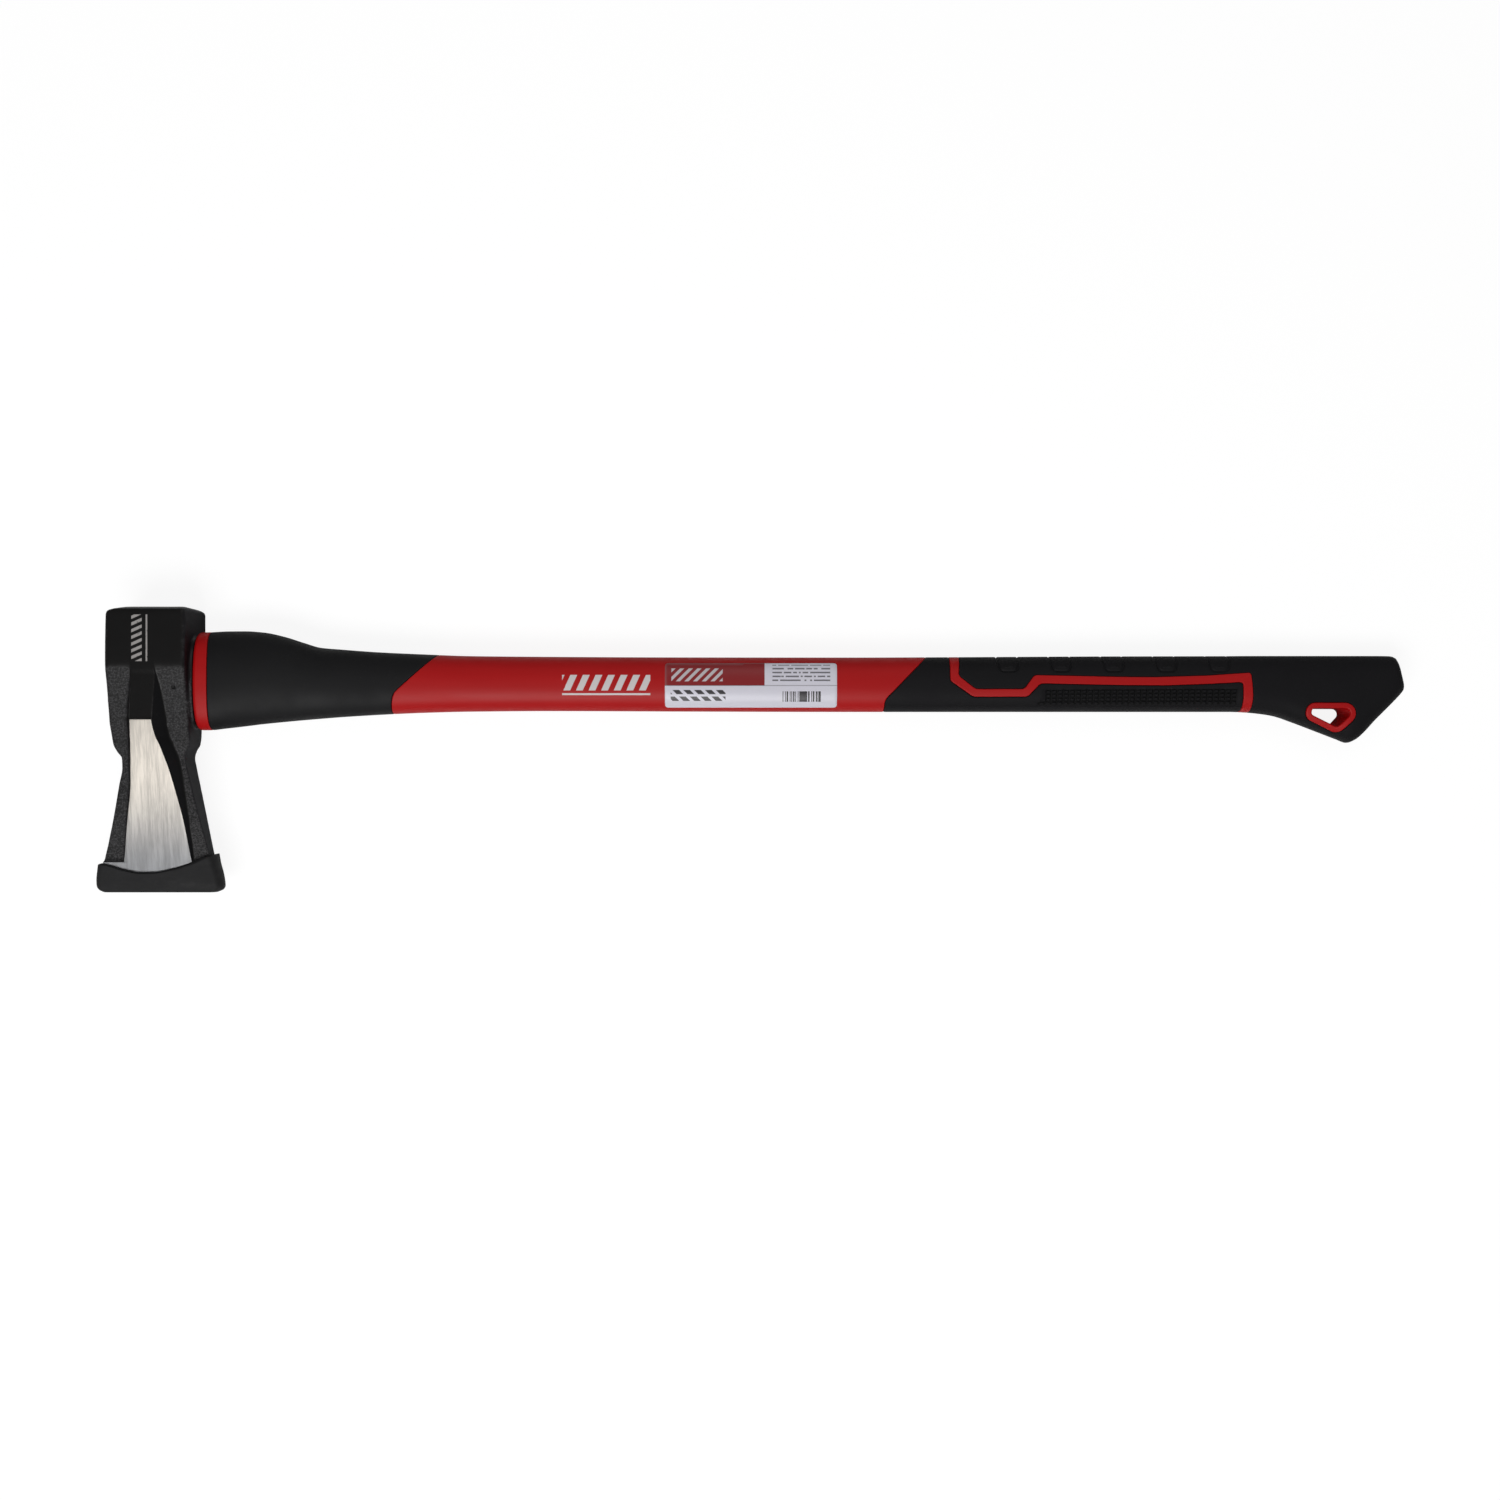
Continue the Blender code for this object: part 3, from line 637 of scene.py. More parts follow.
PAD_CENTRES = [PAD_FIRST_X + PAD_PITCH * step for step in range(PAD_COUNT)]
PAD_PATHS = [pad_path(x) for x in PAD_CENTRES]
BAR_CENTRES = flat_from_side([(x, BAR_Y) for x in PAD_CENTRES])


def bar_points():
    across = np.linspace(-BAR_HALF[0] - 0.3, BAR_HALF[0] + 0.3, 19)
    down = np.linspace(-BAR_HALF[1] - 0.35, BAR_HALF[1] + 0.35, 9)
    return np.array([(x + u, w + v) for x, w in BAR_CENTRES for u in across for v in down])


def pad_rise(flat):
    rise = -PAD_GROOVE_DEPTH * sum(fade(0.2, PAD_GROOVE_HALF, distance_to(flat, path)) for path in PAD_PATHS)
    for x, w in BAR_CENTRES:
        past_end = np.maximum(np.abs(flat[:, 0] - x) - (BAR_HALF[0] - BAR_HALF[1]), 0.0)
        away = np.hypot(past_end, flat[:, 1] - w)
        rise += BAR_RISE * fade(0.25, BAR_HALF[1], away)
    return rise


def within_sheet(points):
    return points[(points[:, 1] > -1e-6) & (points[:, 1] < SHEET_SPAN + 1e-6)]


def make_grip(name, node, span, left, right, rubber, extra_rows=(), extra_points=None, details=()):
    """A soft grip between two seams, or from one seam to the knob's end, with raised and sunk details."""
    seams = [(left, 1.0, False), (RIM_PATH, RIM_OUT, True) if right is None else (right, -1.0, False)]
    paths = [path for path, _, _ in seams]
    rows = [side_rows(path, side, EDGE_STEPS, closed) for path, side, closed in seams]
    chains = [plane_from_flat(group[0]) for group in rows]
    outline = np.concatenate([chains[0], (plane_from_flat(END_PATH) if right is None else chains[1])[::-1]])

    def keep(centres):
        held = inside(centres, outline)
        return held & ~inside(centres, chains[1][:-1]) if right is None else held

    clear = HALF_GAP + EDGE_STEPS[-1] + 0.7
    own = spare_points(grid_points(*span, 2.3, FINE_PITCH), paths, clear)
    crowd = []
    for path, offsets in extra_rows:
        crowd += thin_out(offset_rows(path, offsets), path, offsets)
        own = spare_points(own, [path], max(offsets) + 0.4)
    if extra_points is not None:
        crowd.append(extra_points)
        flat = flat_from_plane(own)
        boxed = ((flat > extra_points.min(0) - 0.5) & (flat < extra_points.max(0) + 0.5)).all(1)
        own = own[[not box or np.abs(extra_points - point).sum(1).min() >= 1.6
                   for point, box in zip(flat, boxed)]]
    flat_rows = [row for group in rows for row in group[1:]]
    flat_rows += [row[distance_to(row, left) > clear] for row in crowd]
    points = within_sheet(np.concatenate([own] + [plane_from_flat(row) for row in flat_rows]))
    coarse = spare_points(grid_points(span[0], min(span[1], JACKET_END_X + GAP), *COARSE_PITCH), paths, 2.0)

    def rise(flat):
        away = np.min([distance_to(flat, path) for path in paths], axis=0)
        fall = edge_fall(np.maximum(away - HALF_GAP, 0.0), EDGE_ROUND)
        return flash_rise(flat) - fall + sum(detail(flat) for detail in details)

    points, faces = mirrored(*half_shell(points, coarse, chains, keep, rise))
    add_piece(name, points, faces, [rubber], node, "soft_grip", marks={"sunk": nub_valley_shade_share(points)})


def nub_valley_shade_share(points):
    """How deep each point lies in the floor between the nubs: 1 at the bottom, 0 on the plain surface; the
    rubber's colour is darkened by it as painted shade.
    """
    x, y, z = points[:, 0], points[:, 1], np.abs(points[:, 2])
    near = ((x > NUB_FIRST[0] - 3.0) & (x < NUB_END_X + 1.0) & (y > NUB_FIRST[1] - 2.5) & (y < 45.0)
            & (z > 9.0))
    flat = flat_from_side(np.column_stack([x, np.clip(y, 28.0, 60.0)])[near])
    share = np.zeros(len(points))
    share[near] = smooth_step(0.0, NUB_SUNK, -nub_rise(flat))
    return share


def outward_sign(path):
    """+1 where a closed path's positive offsets lie outside it."""
    row = offset_rows(path, [0.5], closed=True)[0]
    return -1.0 if inside(row[:1], path[:-1])[0] else 1.0


RIM_OUT = outward_sign(RIM_PATH)
HOLE_OUT = outward_sign(HOLE_PATH)


# ---------------------------------------------------------------- the red jacket

TONGUE_HALF = (25.2, 11.6)
TONGUE_Y = 47.0
TONGUE_END_X = -440.4
TONGUE_END_FALL = 0.7        # the chamfer round its end
CORE_SQUARENESS = 2.5        # of the rod and its bore
BORE_HALF = (15.8, 8.5)
BORE_Y = 46.5
BORE_END_X = 372.3
RED_STEPS = (0.0, 0.03, 0.13, 0.27, 0.45, 0.95)
RED_SEAMS = ((RING_PATH, -1.0), (COLLAR_PATH, 1.0), (GRIP_PATH, -1.0), (RIB_INNER_PATH, 1.0),
             (RIB_OUTER_PATH, -1.0))     # each with the side that its red band lies on
FOOT = 0.07                  # the foot of each red band's edge, from the seam's middle
RIM_STEPS = (0.0, 0.1, 0.3, 0.55, 0.8, 1.2)
HOLE_STEPS = (0.0, 0.08, 0.25, 0.5, 0.8, 1.2)


def is_red(plane):
    """Which plane points lie on the jacket's visible bands, those on the parting lines included."""
    plane = np.column_stack([plane[:, 0], np.clip(plane[:, 1], 0.01, SHEET_SPAN - 0.01)])
    return np.any([inside(plane, region) for region in RED_REGIONS], axis=0)


def jacket_rise(flat):
    """The visible bands at full size with rounded edges, and the skin under the grips."""
    plane = plane_from_flat(flat)
    away = np.min([distance_to(flat, path) for path, _ in RED_SEAMS], axis=0)
    from_rim = distance_to(flat, RIM_PATH)
    in_rim = inside(plane, RIM_REGION)
    band = (flash_rise(flat) - edge_fall(np.maximum(away - HALF_GAP, 0.0), RED_EDGE_ROUND)
            - edge_fall(flat[:, 0] - FRONT_X, RING_ROUND))
    rim = (RIM_RISE - edge_fall(np.maximum(from_rim - HALF_GAP, 0.0), RIM_STEPS[-2])
           - edge_fall(distance_to(flat, HOLE_PATH), HOLE_ROUND))
    shown = is_red(plane) & (np.where(in_rim, from_rim, away) > HALF_GAP - 0.01)
    return np.where(shown, np.where(in_rim, rim, band), -GRIP_THICKNESS)


def half_oval(x, centre_y, half, shrink, squareness, shares):
    """The near half of an oval, at shares of the way from its top to its bottom."""
    fine = oval(x, centre_y, half[0] - shrink, half[1] - shrink, squareness, 720)[:361]
    points = np.column_stack([np.interp(shares * 360.0, np.arange(361), column) for column in fine.T])
    points[[0, -1], 2] = 0.0
    return points


def ladder(rows, below, start):
    """Faces from a row of existing points through new rows, whose points are numbered from start."""
    faces, count = [], len(below)
    for row in range(len(rows)):
        above = range(start + row * count, start + (row + 1) * count)
        faces += [(below[i], below[i + 1], above[i + 1], above[i]) for i in range(count - 1)]
        below = above
    return faces


def jacket_sheet():
    """The lanyard hole's edge, and the jacket's outer skin on the near half."""
    seams = [(path, side, RED_STEPS, False) for path, side in RED_SEAMS]
    seams.append((RIM_PATH, -RIM_OUT, RIM_STEPS, True))
    rows, chains = [], []
    for path, side, steps, closed in seams:
        beside = side_rows(path, side, steps, closed)
        chains += [beside[0], *offset_rows(path, [side * FOOT], closed)]
        rows += beside[1:]
    hole, *around_hole = offset_rows(HOLE_PATH, [HOLE_OUT * step for step in HOLE_STEPS], closed=True)
    paths = [seam[0] for seam in seams] + [HOLE_PATH]
    fine = spare_points(grid_points(FRONT_X, BORE_END_X - 0.3, 2.4, FINE_PITCH), paths, 1.7)
    fine = fine[is_red(fine) & (fine[:, 0] > FRONT_X + RING_ROUND + 0.6)]
    coarse = spare_points(grid_points(FRONT_X, JACKET_END_X, *COARSE_PITCH), paths, 3.0)
    coarse = coarse[~is_red(coarse) & (coarse[:, 0] > FRONT_X + 4) & (coarse[:, 0] < JACKET_END_X - 2)]
    rounding = FRONT_X + RING_ROUND * (1.0 - np.cos(np.radians(range(0, 91, 15))))
    points = np.concatenate([fine, coarse, columns_by_shares(rounding, grid_shares(FINE_PITCH)),
                             columns_by_shares([JACKET_END_X], grid_shares(COARSE_PITCH[1]))]
                            + [plane_from_flat(row) for row in rows + around_hole])
    outline = plane_from_flat(hole)
    return hole, sheet(within_sheet(points), [plane_from_flat(chain) for chain in chains + [hole]],
                       lambda centres: ~inside(centres, outline[:-1]), jacket_rise)


def hole_wall(outer, on_hole, faces):
    """The lanyard hole's wall, from its near edge to the middle plane: the new points and faces."""
    edges = [(a, b) for a, b in boundary_edges(faces) if on_hole[a] and on_hole[b]]
    edge_points = sorted({point for edge in edges for point in edge})
    order = {point: index for index, point in enumerate(edge_points)}
    levels = (0.9, 0.65, 0.35, 0.0)

    def at(point, level):
        return point if level == 0 else len(outer) + (level - 1) * len(order) + order[point]

    walls = [(at(a, level), at(b, level), at(b, level + 1), at(a, level + 1))
             for a, b in edges for level in range(len(levels))]
    return [outer[edge_points] * (1.0, 1.0, level) for level in levels], walls


def make_jacket(red):
    hole, (plane, t, outer, faces) = jacket_sheet()
    flat = flat_from_plane(plane)
    wall_points, walls = hole_wall(outer, distance_to(flat, hole) < 1e-3, faces)

    # The flange's front face, the tongue in the head's eye, and the bore round the core.
    front_row = np.flatnonzero(np.abs(flat[:, 0] - FRONT_X) < 1e-3)
    front_row = front_row[np.argsort(t[front_row])]
    edge, shares = outer[front_row], t[front_row]
    root = half_oval(FRONT_X, TONGUE_Y, TONGUE_HALF, 0.0, EYE_SQUARENESS, shares)
    end = half_oval(TONGUE_END_X, TONGUE_Y, TONGUE_HALF, TONGUE_END_FALL, EYE_SQUARENESS, shares)
    bore = half_oval(TONGUE_END_X, BORE_Y, BORE_HALF, 0.0, CORE_SQUARENESS, shares)
    rows = [edge + (root - edge) * along for along in (0.35, 0.7, 1.0)]
    sides = np.linspace(HEAD_FACE_X, TONGUE_END_X + TONGUE_END_FALL, 8)
    rows += [root + (x - FRONT_X, 0.0, 0.0) for x in sides]
    rows += [end + (0.2, 0.0, 0.0)] + [end + (bore - end) * along for along in (0.15, 0.5, 1.0)]
    rows += [bore + (x - TONGUE_END_X, 0.0, 0.0) for x in np.linspace(TONGUE_END_X + 1.0, BORE_END_X, 12)]
    points = np.concatenate([outer] + wall_points)
    faces = [*faces, *walls, *ladder(rows, front_row, len(points))]
    points, faces = mirrored(np.concatenate([points] + rows), faces)
    add_piece("jacket_red", points, faces, [red], "handle_jacket", "red_jacket")


# ---------------------------------------------------------------- the label

LABEL_X = (-58.9, 60.2)
LABEL_Y = (29.6, 60.1)
LABEL_ROUND = 2.2
LABEL_LIFT = (0.03, 0.42)


def make_label(film):
    corners = [(LABEL_X[i], LABEL_Y[j]) for i, j in ((0, 1), (0, 0), (1, 0), (1, 1))]
    outline = closed_surface_path(rounded_path(corners, LABEL_ROUND, closed=True), 1.0)
    inner = offset_rows(outline, [-outward_sign(outline) * 0.35], closed=True)[0]
    border = plane_from_flat(outline)
    grid = spare_points(grid_points(*LABEL_X, 2.0, FINE_PITCH), [outline], 0.9)
    points = np.concatenate([grid[inside(grid, border[:-1])], plane_from_flat(inner)])

    def rise(flat):
        return LABEL_LIFT[1] - 0.2 + 0.2 * smooth_step(0.0, 0.35, distance_to(flat, outline))

    plane, t, top, faces = sheet(points, [border], lambda centres: inside(centres, border[:-1]), rise)
    flat = flat_from_plane(plane)
    under = surface(flat[:, 0], t, np.full(len(t), LABEL_LIFT[0]))
    edge = fade(0.2, 0.9, distance_to(flat, outline))
    walls = [(a, b, len(top) + b, len(top) + a) for a, b in boundary_edges(faces)]
    faces = [*faces, *(faces[:, ::-1] + len(top)), *walls]
    add_piece("sticker", np.concatenate([top, under]), faces, [film], "label", "label_film",
              marks={"edge": np.tile(edge, 2)})


# ---------------------------------------------------------------- the head

EYE_Y = 47.0
EYE_HALF = (27.0, 13.2)
EYE_RIM_X = -385.6
EYE_RIM_HALF = (32.0, 16.0)
BLOCK_HALF = 23.2
FACET_TOP_Y = 21.0
FACET_TAPER = 0.163
RECESS_END_Y = -78.0
BEVEL_TOP_Y = -86.0
LEFT_WALL_RUN = 0.55
RIGHT_WALL_RUN = 0.95

# Key sections of the head from poll to edge: y, left x, right x, half thickness of the side panels, the
# wedge's left and right x, its half thickness, then the rounding of the outer corners, of the wedge's foot
# and of its crest.
HEAD_KEYS = [
    (99.3, -426.5, -391.5, 14.0, -425.0, -409.0, 14.0, 3.0, 1.0, 1.0),
    (98.9, -430.4, -390.3, 18.0, -425.0, -409.0, 18.0, 3.0, 1.0, 1.0),
    (98.2, -434.4, -389.2, 20.7, -425.0, -409.0, 20.7, 3.0, 1.0, 1.0),
    (97.0, -439.6, -388.3, 22.7, -425.0, -409.0, 22.7, 3.0, 1.0, 1.0),
    (95.4, -442.3, -388.0, 23.4, -425.0, -409.0, 23.4, 3.0, 1.0, 1.0),
    (93.0, -443.0, -388.0, 23.5, -425.0, -409.0, 23.5, 3.0, 1.0, 1.0),
    (64.0, -443.5, -388.0, 23.5, -425.0, -409.0, 23.5, 3.0, 1.0, 1.0),
    (60.0, -443.5, -388.0, 23.42, -425.0, -409.0, 23.45, 3.0, 1.0, 1.0),
    (56.0, -443.5, -388.0, 23.0, -425.0, -408.9, 23.4, 3.0, 1.2, 1.0),
    (52.0, -443.5, -388.0, 22.1, -425.1, -408.7, 23.2, 3.0, 1.8, 1.0),
    (46.0, -443.5, -388.0, 20.5, -425.4, -409.0, 23.2, 3.0, 2.2, 1.2),
    (38.0, -443.5, -388.0, 18.6, -425.8, -409.6, 23.2, 2.8, 2.2, 1.3),
    (23.0, -443.3, -388.0, 15.7, -426.2, -410.6, 23.2, 2.6, 2.2, 1.3),
    (21.0, -443.3, -388.0, 15.4, -426.2, -410.7, 23.2, 2.6, 2.2, 0.7),
    (10.0, -442.3, -387.7, 14.0, -426.3, -408.9, 0.0, 2.4, 2.2, 0.3),
    (3.6, -441.4, -388.3, 13.2, -426.4, -406.2, 0.0, 2.4, 2.2, 0.3),
    (-1.0, -439.3, -390.5, 12.3, -426.6, -404.6, 0.0, 2.4, 2.2, 0.3),
    (-6.0, -436.1, -391.6, 11.6, -426.8, -402.9, 0.0, 2.4, 2.2, 0.3),
    (-12.0, -435.9, -390.5, 11.3, -427.2, -401.0, 0.0, 2.2, 2.2, 0.3),
    (-24.0, -438.2, -387.8, 10.7, -427.9, -398.0, 0.0, 2.0, 2.2, 0.3),
    (-49.0, -443.0, -382.1, 8.9, -431.6, -392.6, 0.0, 1.6, 2.0, 0.3),
    (-73.0, -449.0, -376.4, 6.2, -434.9, -389.1, 0.0, 1.2, 1.6, 0.3),
    (-76.0, -449.7, -375.7, 6.1, -435.4, -388.6, 0.0, 1.0, 1.2, 0.3),
    (-77.2, -449.9, -375.5, 6.7, -435.5, -388.4, 0.0, 0.6, 0.8, 0.3),
    (-78.0, -450.2, -375.3, 7.07, -435.6, -388.3, 0.0, 0.3, 0.5, 0.2),
    (-86.0, -452.0, -373.5, 5.76, -435.6, -388.3, 0.0, 0.3, 0.5, 0.2),
    (-92.0, -452.2, -373.2, 2.3, -435.6, -388.3, 2.3, 0.3, 0.3, 0.2),
    (-94.6, -450.6, -374.8, 0.9, -435.6, -388.3, 0.9, 0.2, 0.2, 0.2),
    (-95.4, -449.4, -376.0, 0.3, -435.6, -388.3, 0.3, 0.1, 0.1, 0.1),
]
SHARP_ROWS = (FACET_TOP_Y, RECESS_END_Y, 99.3, -92.0)
PANEL_STEPS = (7, 9, 8, 13, 9, 9, 7)     # divisions of each straight stretch of a half section
FILLET_STEPS = 5
ROW_PITCH = 0.75
PIT = (-397.0, 43.2)
TEXTURE_TOP_Y = 56.5
WALL_SHARE = 0.2             # how rough the wedge's walls are beside the side panels
EYE_MIDDLE_X = -415.0
# The raised rim round the eye and the passage through it, as x and growth.
EYE_RIM_PROFILE = ((-391.0, 2.6), (-388.0, 1.4), (-387.5, 0.5), (-386.9, 0.05), (-386.1, 0.0),
                   (-385.75, -0.15), (EYE_RIM_X, -0.5))
EYE_PROFILE = ((-446.0, 2.4), (-443.4, 0.9), (-442.6, 0.35), (-441.4, 0.0), (-387.0, 0.0), (-386.0, 0.25),
               (-384.0, 1.6))


def facet_half_at(y):
    return BLOCK_HALF - FACET_TAPER * (FACET_TOP_Y - y)


def with_facet(rows):
    """The ground faces' plane filled into head sections, where they cut through it."""
    y = rows[:, 0]
    ground = (y < FACET_TOP_Y) & (y >= BEVEL_TOP_Y)
    rows[ground, 6] = facet_half_at(y[ground])
    full = ground & (y <= RECESS_END_Y)
    rows[full, 3] = rows[full, 6]
    return rows


def filleted(corners, radii):
    """A row through corners, each turned into a short curve, with a fixed number of points on every stretch,
    and for each point the stretch that it lies on and its share of the bend after that stretch."""
    ends = [(corners[0], corners[0])]
    for before, corner, after, radius in zip(corners, corners[1:], corners[2:], radii):
        sides = [before - corner, after - corner]
        rooms = [max(np.linalg.norm(side), 1e-9) for side in sides]
        turn = math.acos(np.clip(-(sides[0] @ sides[1]) / max(rooms[0] * rooms[1], 1e-9), -1.0, 1.0))
        reach = min(radius * math.tan(turn / 2.0), 0.42 * rooms[0], 0.42 * rooms[1])
        ends.append([corner + side / room * reach for side, room in zip(sides, rooms)])
    ends.append((corners[-1], corners[-1]))
    points, kinds = [], []
    for index, steps in enumerate(PANEL_STEPS):
        start, (stop, past), corner = ends[index][1], ends[index + 1], corners[index + 1]
        points += [start + (stop - start) * step / steps for step in range(steps)]
        kinds += [(index, 0.0)] * steps
        for along in np.arange(FILLET_STEPS if index < len(PANEL_STEPS) - 1 else 0) / FILLET_STEPS:
            points.append(stop * (1 - along) ** 2 + corner * 2 * along * (1 - along) + past * along ** 2)
            kinds.append((index, 1.0 - abs(2.0 * along - 1.0)))
    return np.array(points + [corners[-1]]), np.array(kinds + [(len(PANEL_STEPS) - 1, 0.0)])


def head_ring(values):
    """A closed section of the head at one height, with the stretch and bend of each of its points."""
    y, left, right, panel, facet_left, facet_right, facet, *radii = values
    depth = max(facet - panel, 0.0)
    left_foot = facet_left - LEFT_WALL_RUN * depth
    right_foot = min(facet_right + RIGHT_WALL_RUN * depth, right - 1.5)
    near, kinds = filleted(np.array((
        (left, 0.0), (left, panel), (left_foot, panel), (facet_left, facet), (facet_right, facet),
        (right_foot, panel), (right, panel), (right, 0.0))), radii + radii[::-1])
    ring = np.concatenate([near, near[-2:0:-1] * (1.0, -1.0)])
    ring = np.column_stack([ring[:, 0], np.full(len(ring), y), ring[:, 1]])
    return ring, np.concatenate([kinds, kinds[-2:0:-1]])


def head_rows():
    """Values of the head's sections, closely spaced, with rows exactly at the keys in SHARP_ROWS."""
    keys = with_facet(np.array(HEAD_KEYS))
    places = np.concatenate([[0.0], np.cumsum(np.abs(np.diff(keys[:, :4], axis=0)).max(1))])
    exact = places[np.isin(keys[:, 0], SHARP_ROWS)]
    wanted = np.linspace(0.0, places[-1], int(places[-1] / ROW_PITCH))
    wanted = wanted[np.abs(wanted[:, None] - exact).min(1) > 0.3]
    return with_facet(monotone(np.column_stack([places, keys]), np.union1d(wanted, exact)))


def head_draft():
    """The head before its eye is cut: points, faces, each face's material, each point's stretch and bend."""
    made = [head_ring(values) for values in head_rows()]
    rings, (stretch, bend) = [ring for ring, _ in made], made[0][1].T
    # The striking face closes in rings that shrink towards its middle.
    middle = rings[0].mean(0)
    caps = [rings[0] + (middle - rings[0]) * (share, 0.0, share) for share in (0.92, 0.75, 0.5, 0.25)]
    rings = caps + rings
    heights = np.array([ring[0][1] for ring in rings])
    heights = (heights[1:] + heights[:-1])[:, None] / 2.0
    after, bend_after = np.roll(stretch, -1), np.roll(bend, -1)
    on_facet = (stretch == 3) & (bend_after == 0.0) & ((bend == 0.0) | (after == 3))
    on_wedge = (stretch >= 1) & (stretch <= 5)
    ground = (heights < FACET_TOP_Y) & (on_facet | on_wedge & (heights < RECESS_END_Y))
    points, faces = loft(rings)
    return (points, faces, np.append(ground.ravel(), (False, False)),
            np.tile(stretch, len(rings)), np.tile(bend, len(rings)))


def fractal(points, size, seed, octaves=3):
    """Smooth noise between about -1 and 1 at each point, its coarsest lumps about size across."""
    offset = Vector((seed * 17.3, seed * 5.1, seed * 9.7))
    return np.array([noise.fractal(Vector(point) / size + offset, 0.8, 2.1, octaves) for point in points])


def distance_from_chosen(points, chosen):
    """How far every point is from the nearest of the chosen ones."""
    tree = KDTree(int(chosen.sum()))
    for index, point in enumerate(points[chosen]):
        tree.insert(point, index)
    tree.balance()
    return np.array([tree.find(point)[2] for point in points])


def join(body, name, rings, operation):
    """Applies a boolean with a plain closed tube through rings, in the tool's frame."""
    points, faces = loft(rings)
    tool = new_object(name, points * MM, faces)
    modifier = body.modifiers.new(name, "BOOLEAN")
    modifier.operation = operation
    modifier.object = tool
    evaluated = body.evaluated_get(bpy.context.evaluated_depsgraph_get())
    mesh = bpy.data.meshes.new_from_object(evaluated)
    body.modifiers.clear()
    body.data = mesh
    bpy.data.objects.remove(tool, do_unlink=True)


def eye_ring(x, grow, half=EYE_HALF, count=96):
    return oval(x, EYE_Y, half[0] + grow, half[1] + grow, EYE_SQUARENESS, count)


def point_values(items, field, width=1):
    """A number or vector read from every item of a mesh."""
    values = np.zeros(len(items) * width)
    items.foreach_get(field, values)
    return values.reshape(-1, width) if width > 1 else values


def make_head(black, ground):
    points, faces, face_materials, stretch, bend = head_draft()
    # Painted highlight on the convex roundings, the outer corners and the wedge's crest: strongest at the
    # middle of each bend.
    edge_highlight = np.where(np.isin(stretch, (0, 2, 3, 5)), bend, 0.0)
    draft = new_object("head_draft", points * MM, faces, (black, ground), face_materials,
                       {"stretch": stretch, "edge_highlight": edge_highlight})
    rim = [eye_ring(x, grow, EYE_RIM_HALF) for x, grow in EYE_RIM_PROFILE]
    join(draft, "rim", rim, "UNION")
    join(draft, "eye", [eye_ring(x, grow) for x, grow in EYE_PROFILE], "DIFFERENCE")

    mesh = draft.data
    points = point_values(mesh.vertices, "co", 3) / MM
    normals = point_values(mesh.vertices, "normal", 3)
    stretch, edge_highlight = (point_values(mesh.attributes[mark].data, "value") for mark in ("stretch", "edge_highlight"))
    faces = [tuple(face.vertices) for face in mesh.polygons]
    face_materials = [face.material_index for face in mesh.polygons]
    bare = np.zeros(len(points), bool)
    bare[[point for face, index in zip(faces, face_materials) if index == 1 for point in face]] = True
    bpy.data.objects.remove(draft, do_unlink=True)

    # The wedge's walls beside the side panels: a little rough, and darkened in colour as painted shade.
    on_wall = np.isin(np.round(stretch), (2, 4)) & (points[:, 1] < TEXTURE_TOP_Y) & ~bare
    forged = np.where(on_wall, WALL_SHARE, forged_share(points, normals, bare))
    points = points + normals * forged_lift(points, normals, forged, bare)[:, None]
    # Besides the forged share, these marks carry painted light into the head's colour: a painted highlight on
    # the convex roundings, painted shade on the wedge's walls, and painted shade with a bluish reflected tint
    # on the faces towards the handle.
    marks = {"edge_highlight": edge_highlight, "forged": forged, "wall": on_wall,
             "shaded_handle_side": smooth_step(0.6, 0.9, normals[:, 0])}
    add_piece("forged_head", points, faces, [black, ground], "head", "forged_steel",
              face_materials=face_materials, marks=marks, sharp_angle=40.0)


def forged_share(points, normals, bare):
    """1 on the rough forged panels, less on the smooth poll, block and sides, 0 on ground steel."""
    x, y, z = points[:, 0], points[:, 1], np.abs(points[:, 2])
    below_poll = fade(TEXTURE_TOP_Y - 3.0, TEXTURE_TOP_Y + 3.0, y)
    on_block = (x > -427.0) & (x < -407.5) & (z > BLOCK_HALF - 1.2) & (y > FACET_TOP_Y - 1)
    share = 0.12 + below_poll * (0.25 + 0.63 * smooth_step(0.55, 0.85, np.abs(normals[:, 2])))
    return np.where(bare, 0.0, np.where(on_block, 0.08, share))


def forged_lift(points, normals, forged, bare):
    """How far the forging's lumps and its one pit move each point along its normal."""
    x, y, z = points.T
    in_eye = ((np.abs(y - EYE_Y) < EYE_HALF[0] + 3.0) & (np.abs(z) < EYE_HALF[1] + 3.0)
              & (np.abs(x - EYE_MIDDLE_X) < 30.0))
    textured = ~(bare | in_eye)
    lumps = fractal(points, 3.4, 1) * 0.10 + fractal(points, 1.5, 2, 2) * 0.11
    swell = fractal(points, 16.0, 3, 2) * 0.22
    lift = lumps * forged * textured + swell * np.minimum(forged + 0.25, 1.0) * textured * 0.6
    beside_bare = smooth_step(0.1, 1.6, distance_from_chosen(points, bare))
    lift = (np.minimum(lift, 0.12) - np.where(in_eye, 0.0, 0.12)) * beside_bare
    pit = 0.6 * fade(0.3, 1.1, np.hypot(x - PIT[0], y - PIT[1]))
    return lift - np.where(normals[:, 2] > 0.5, pit, 0.0)


# ---------------------------------------------------------------- the edge guard

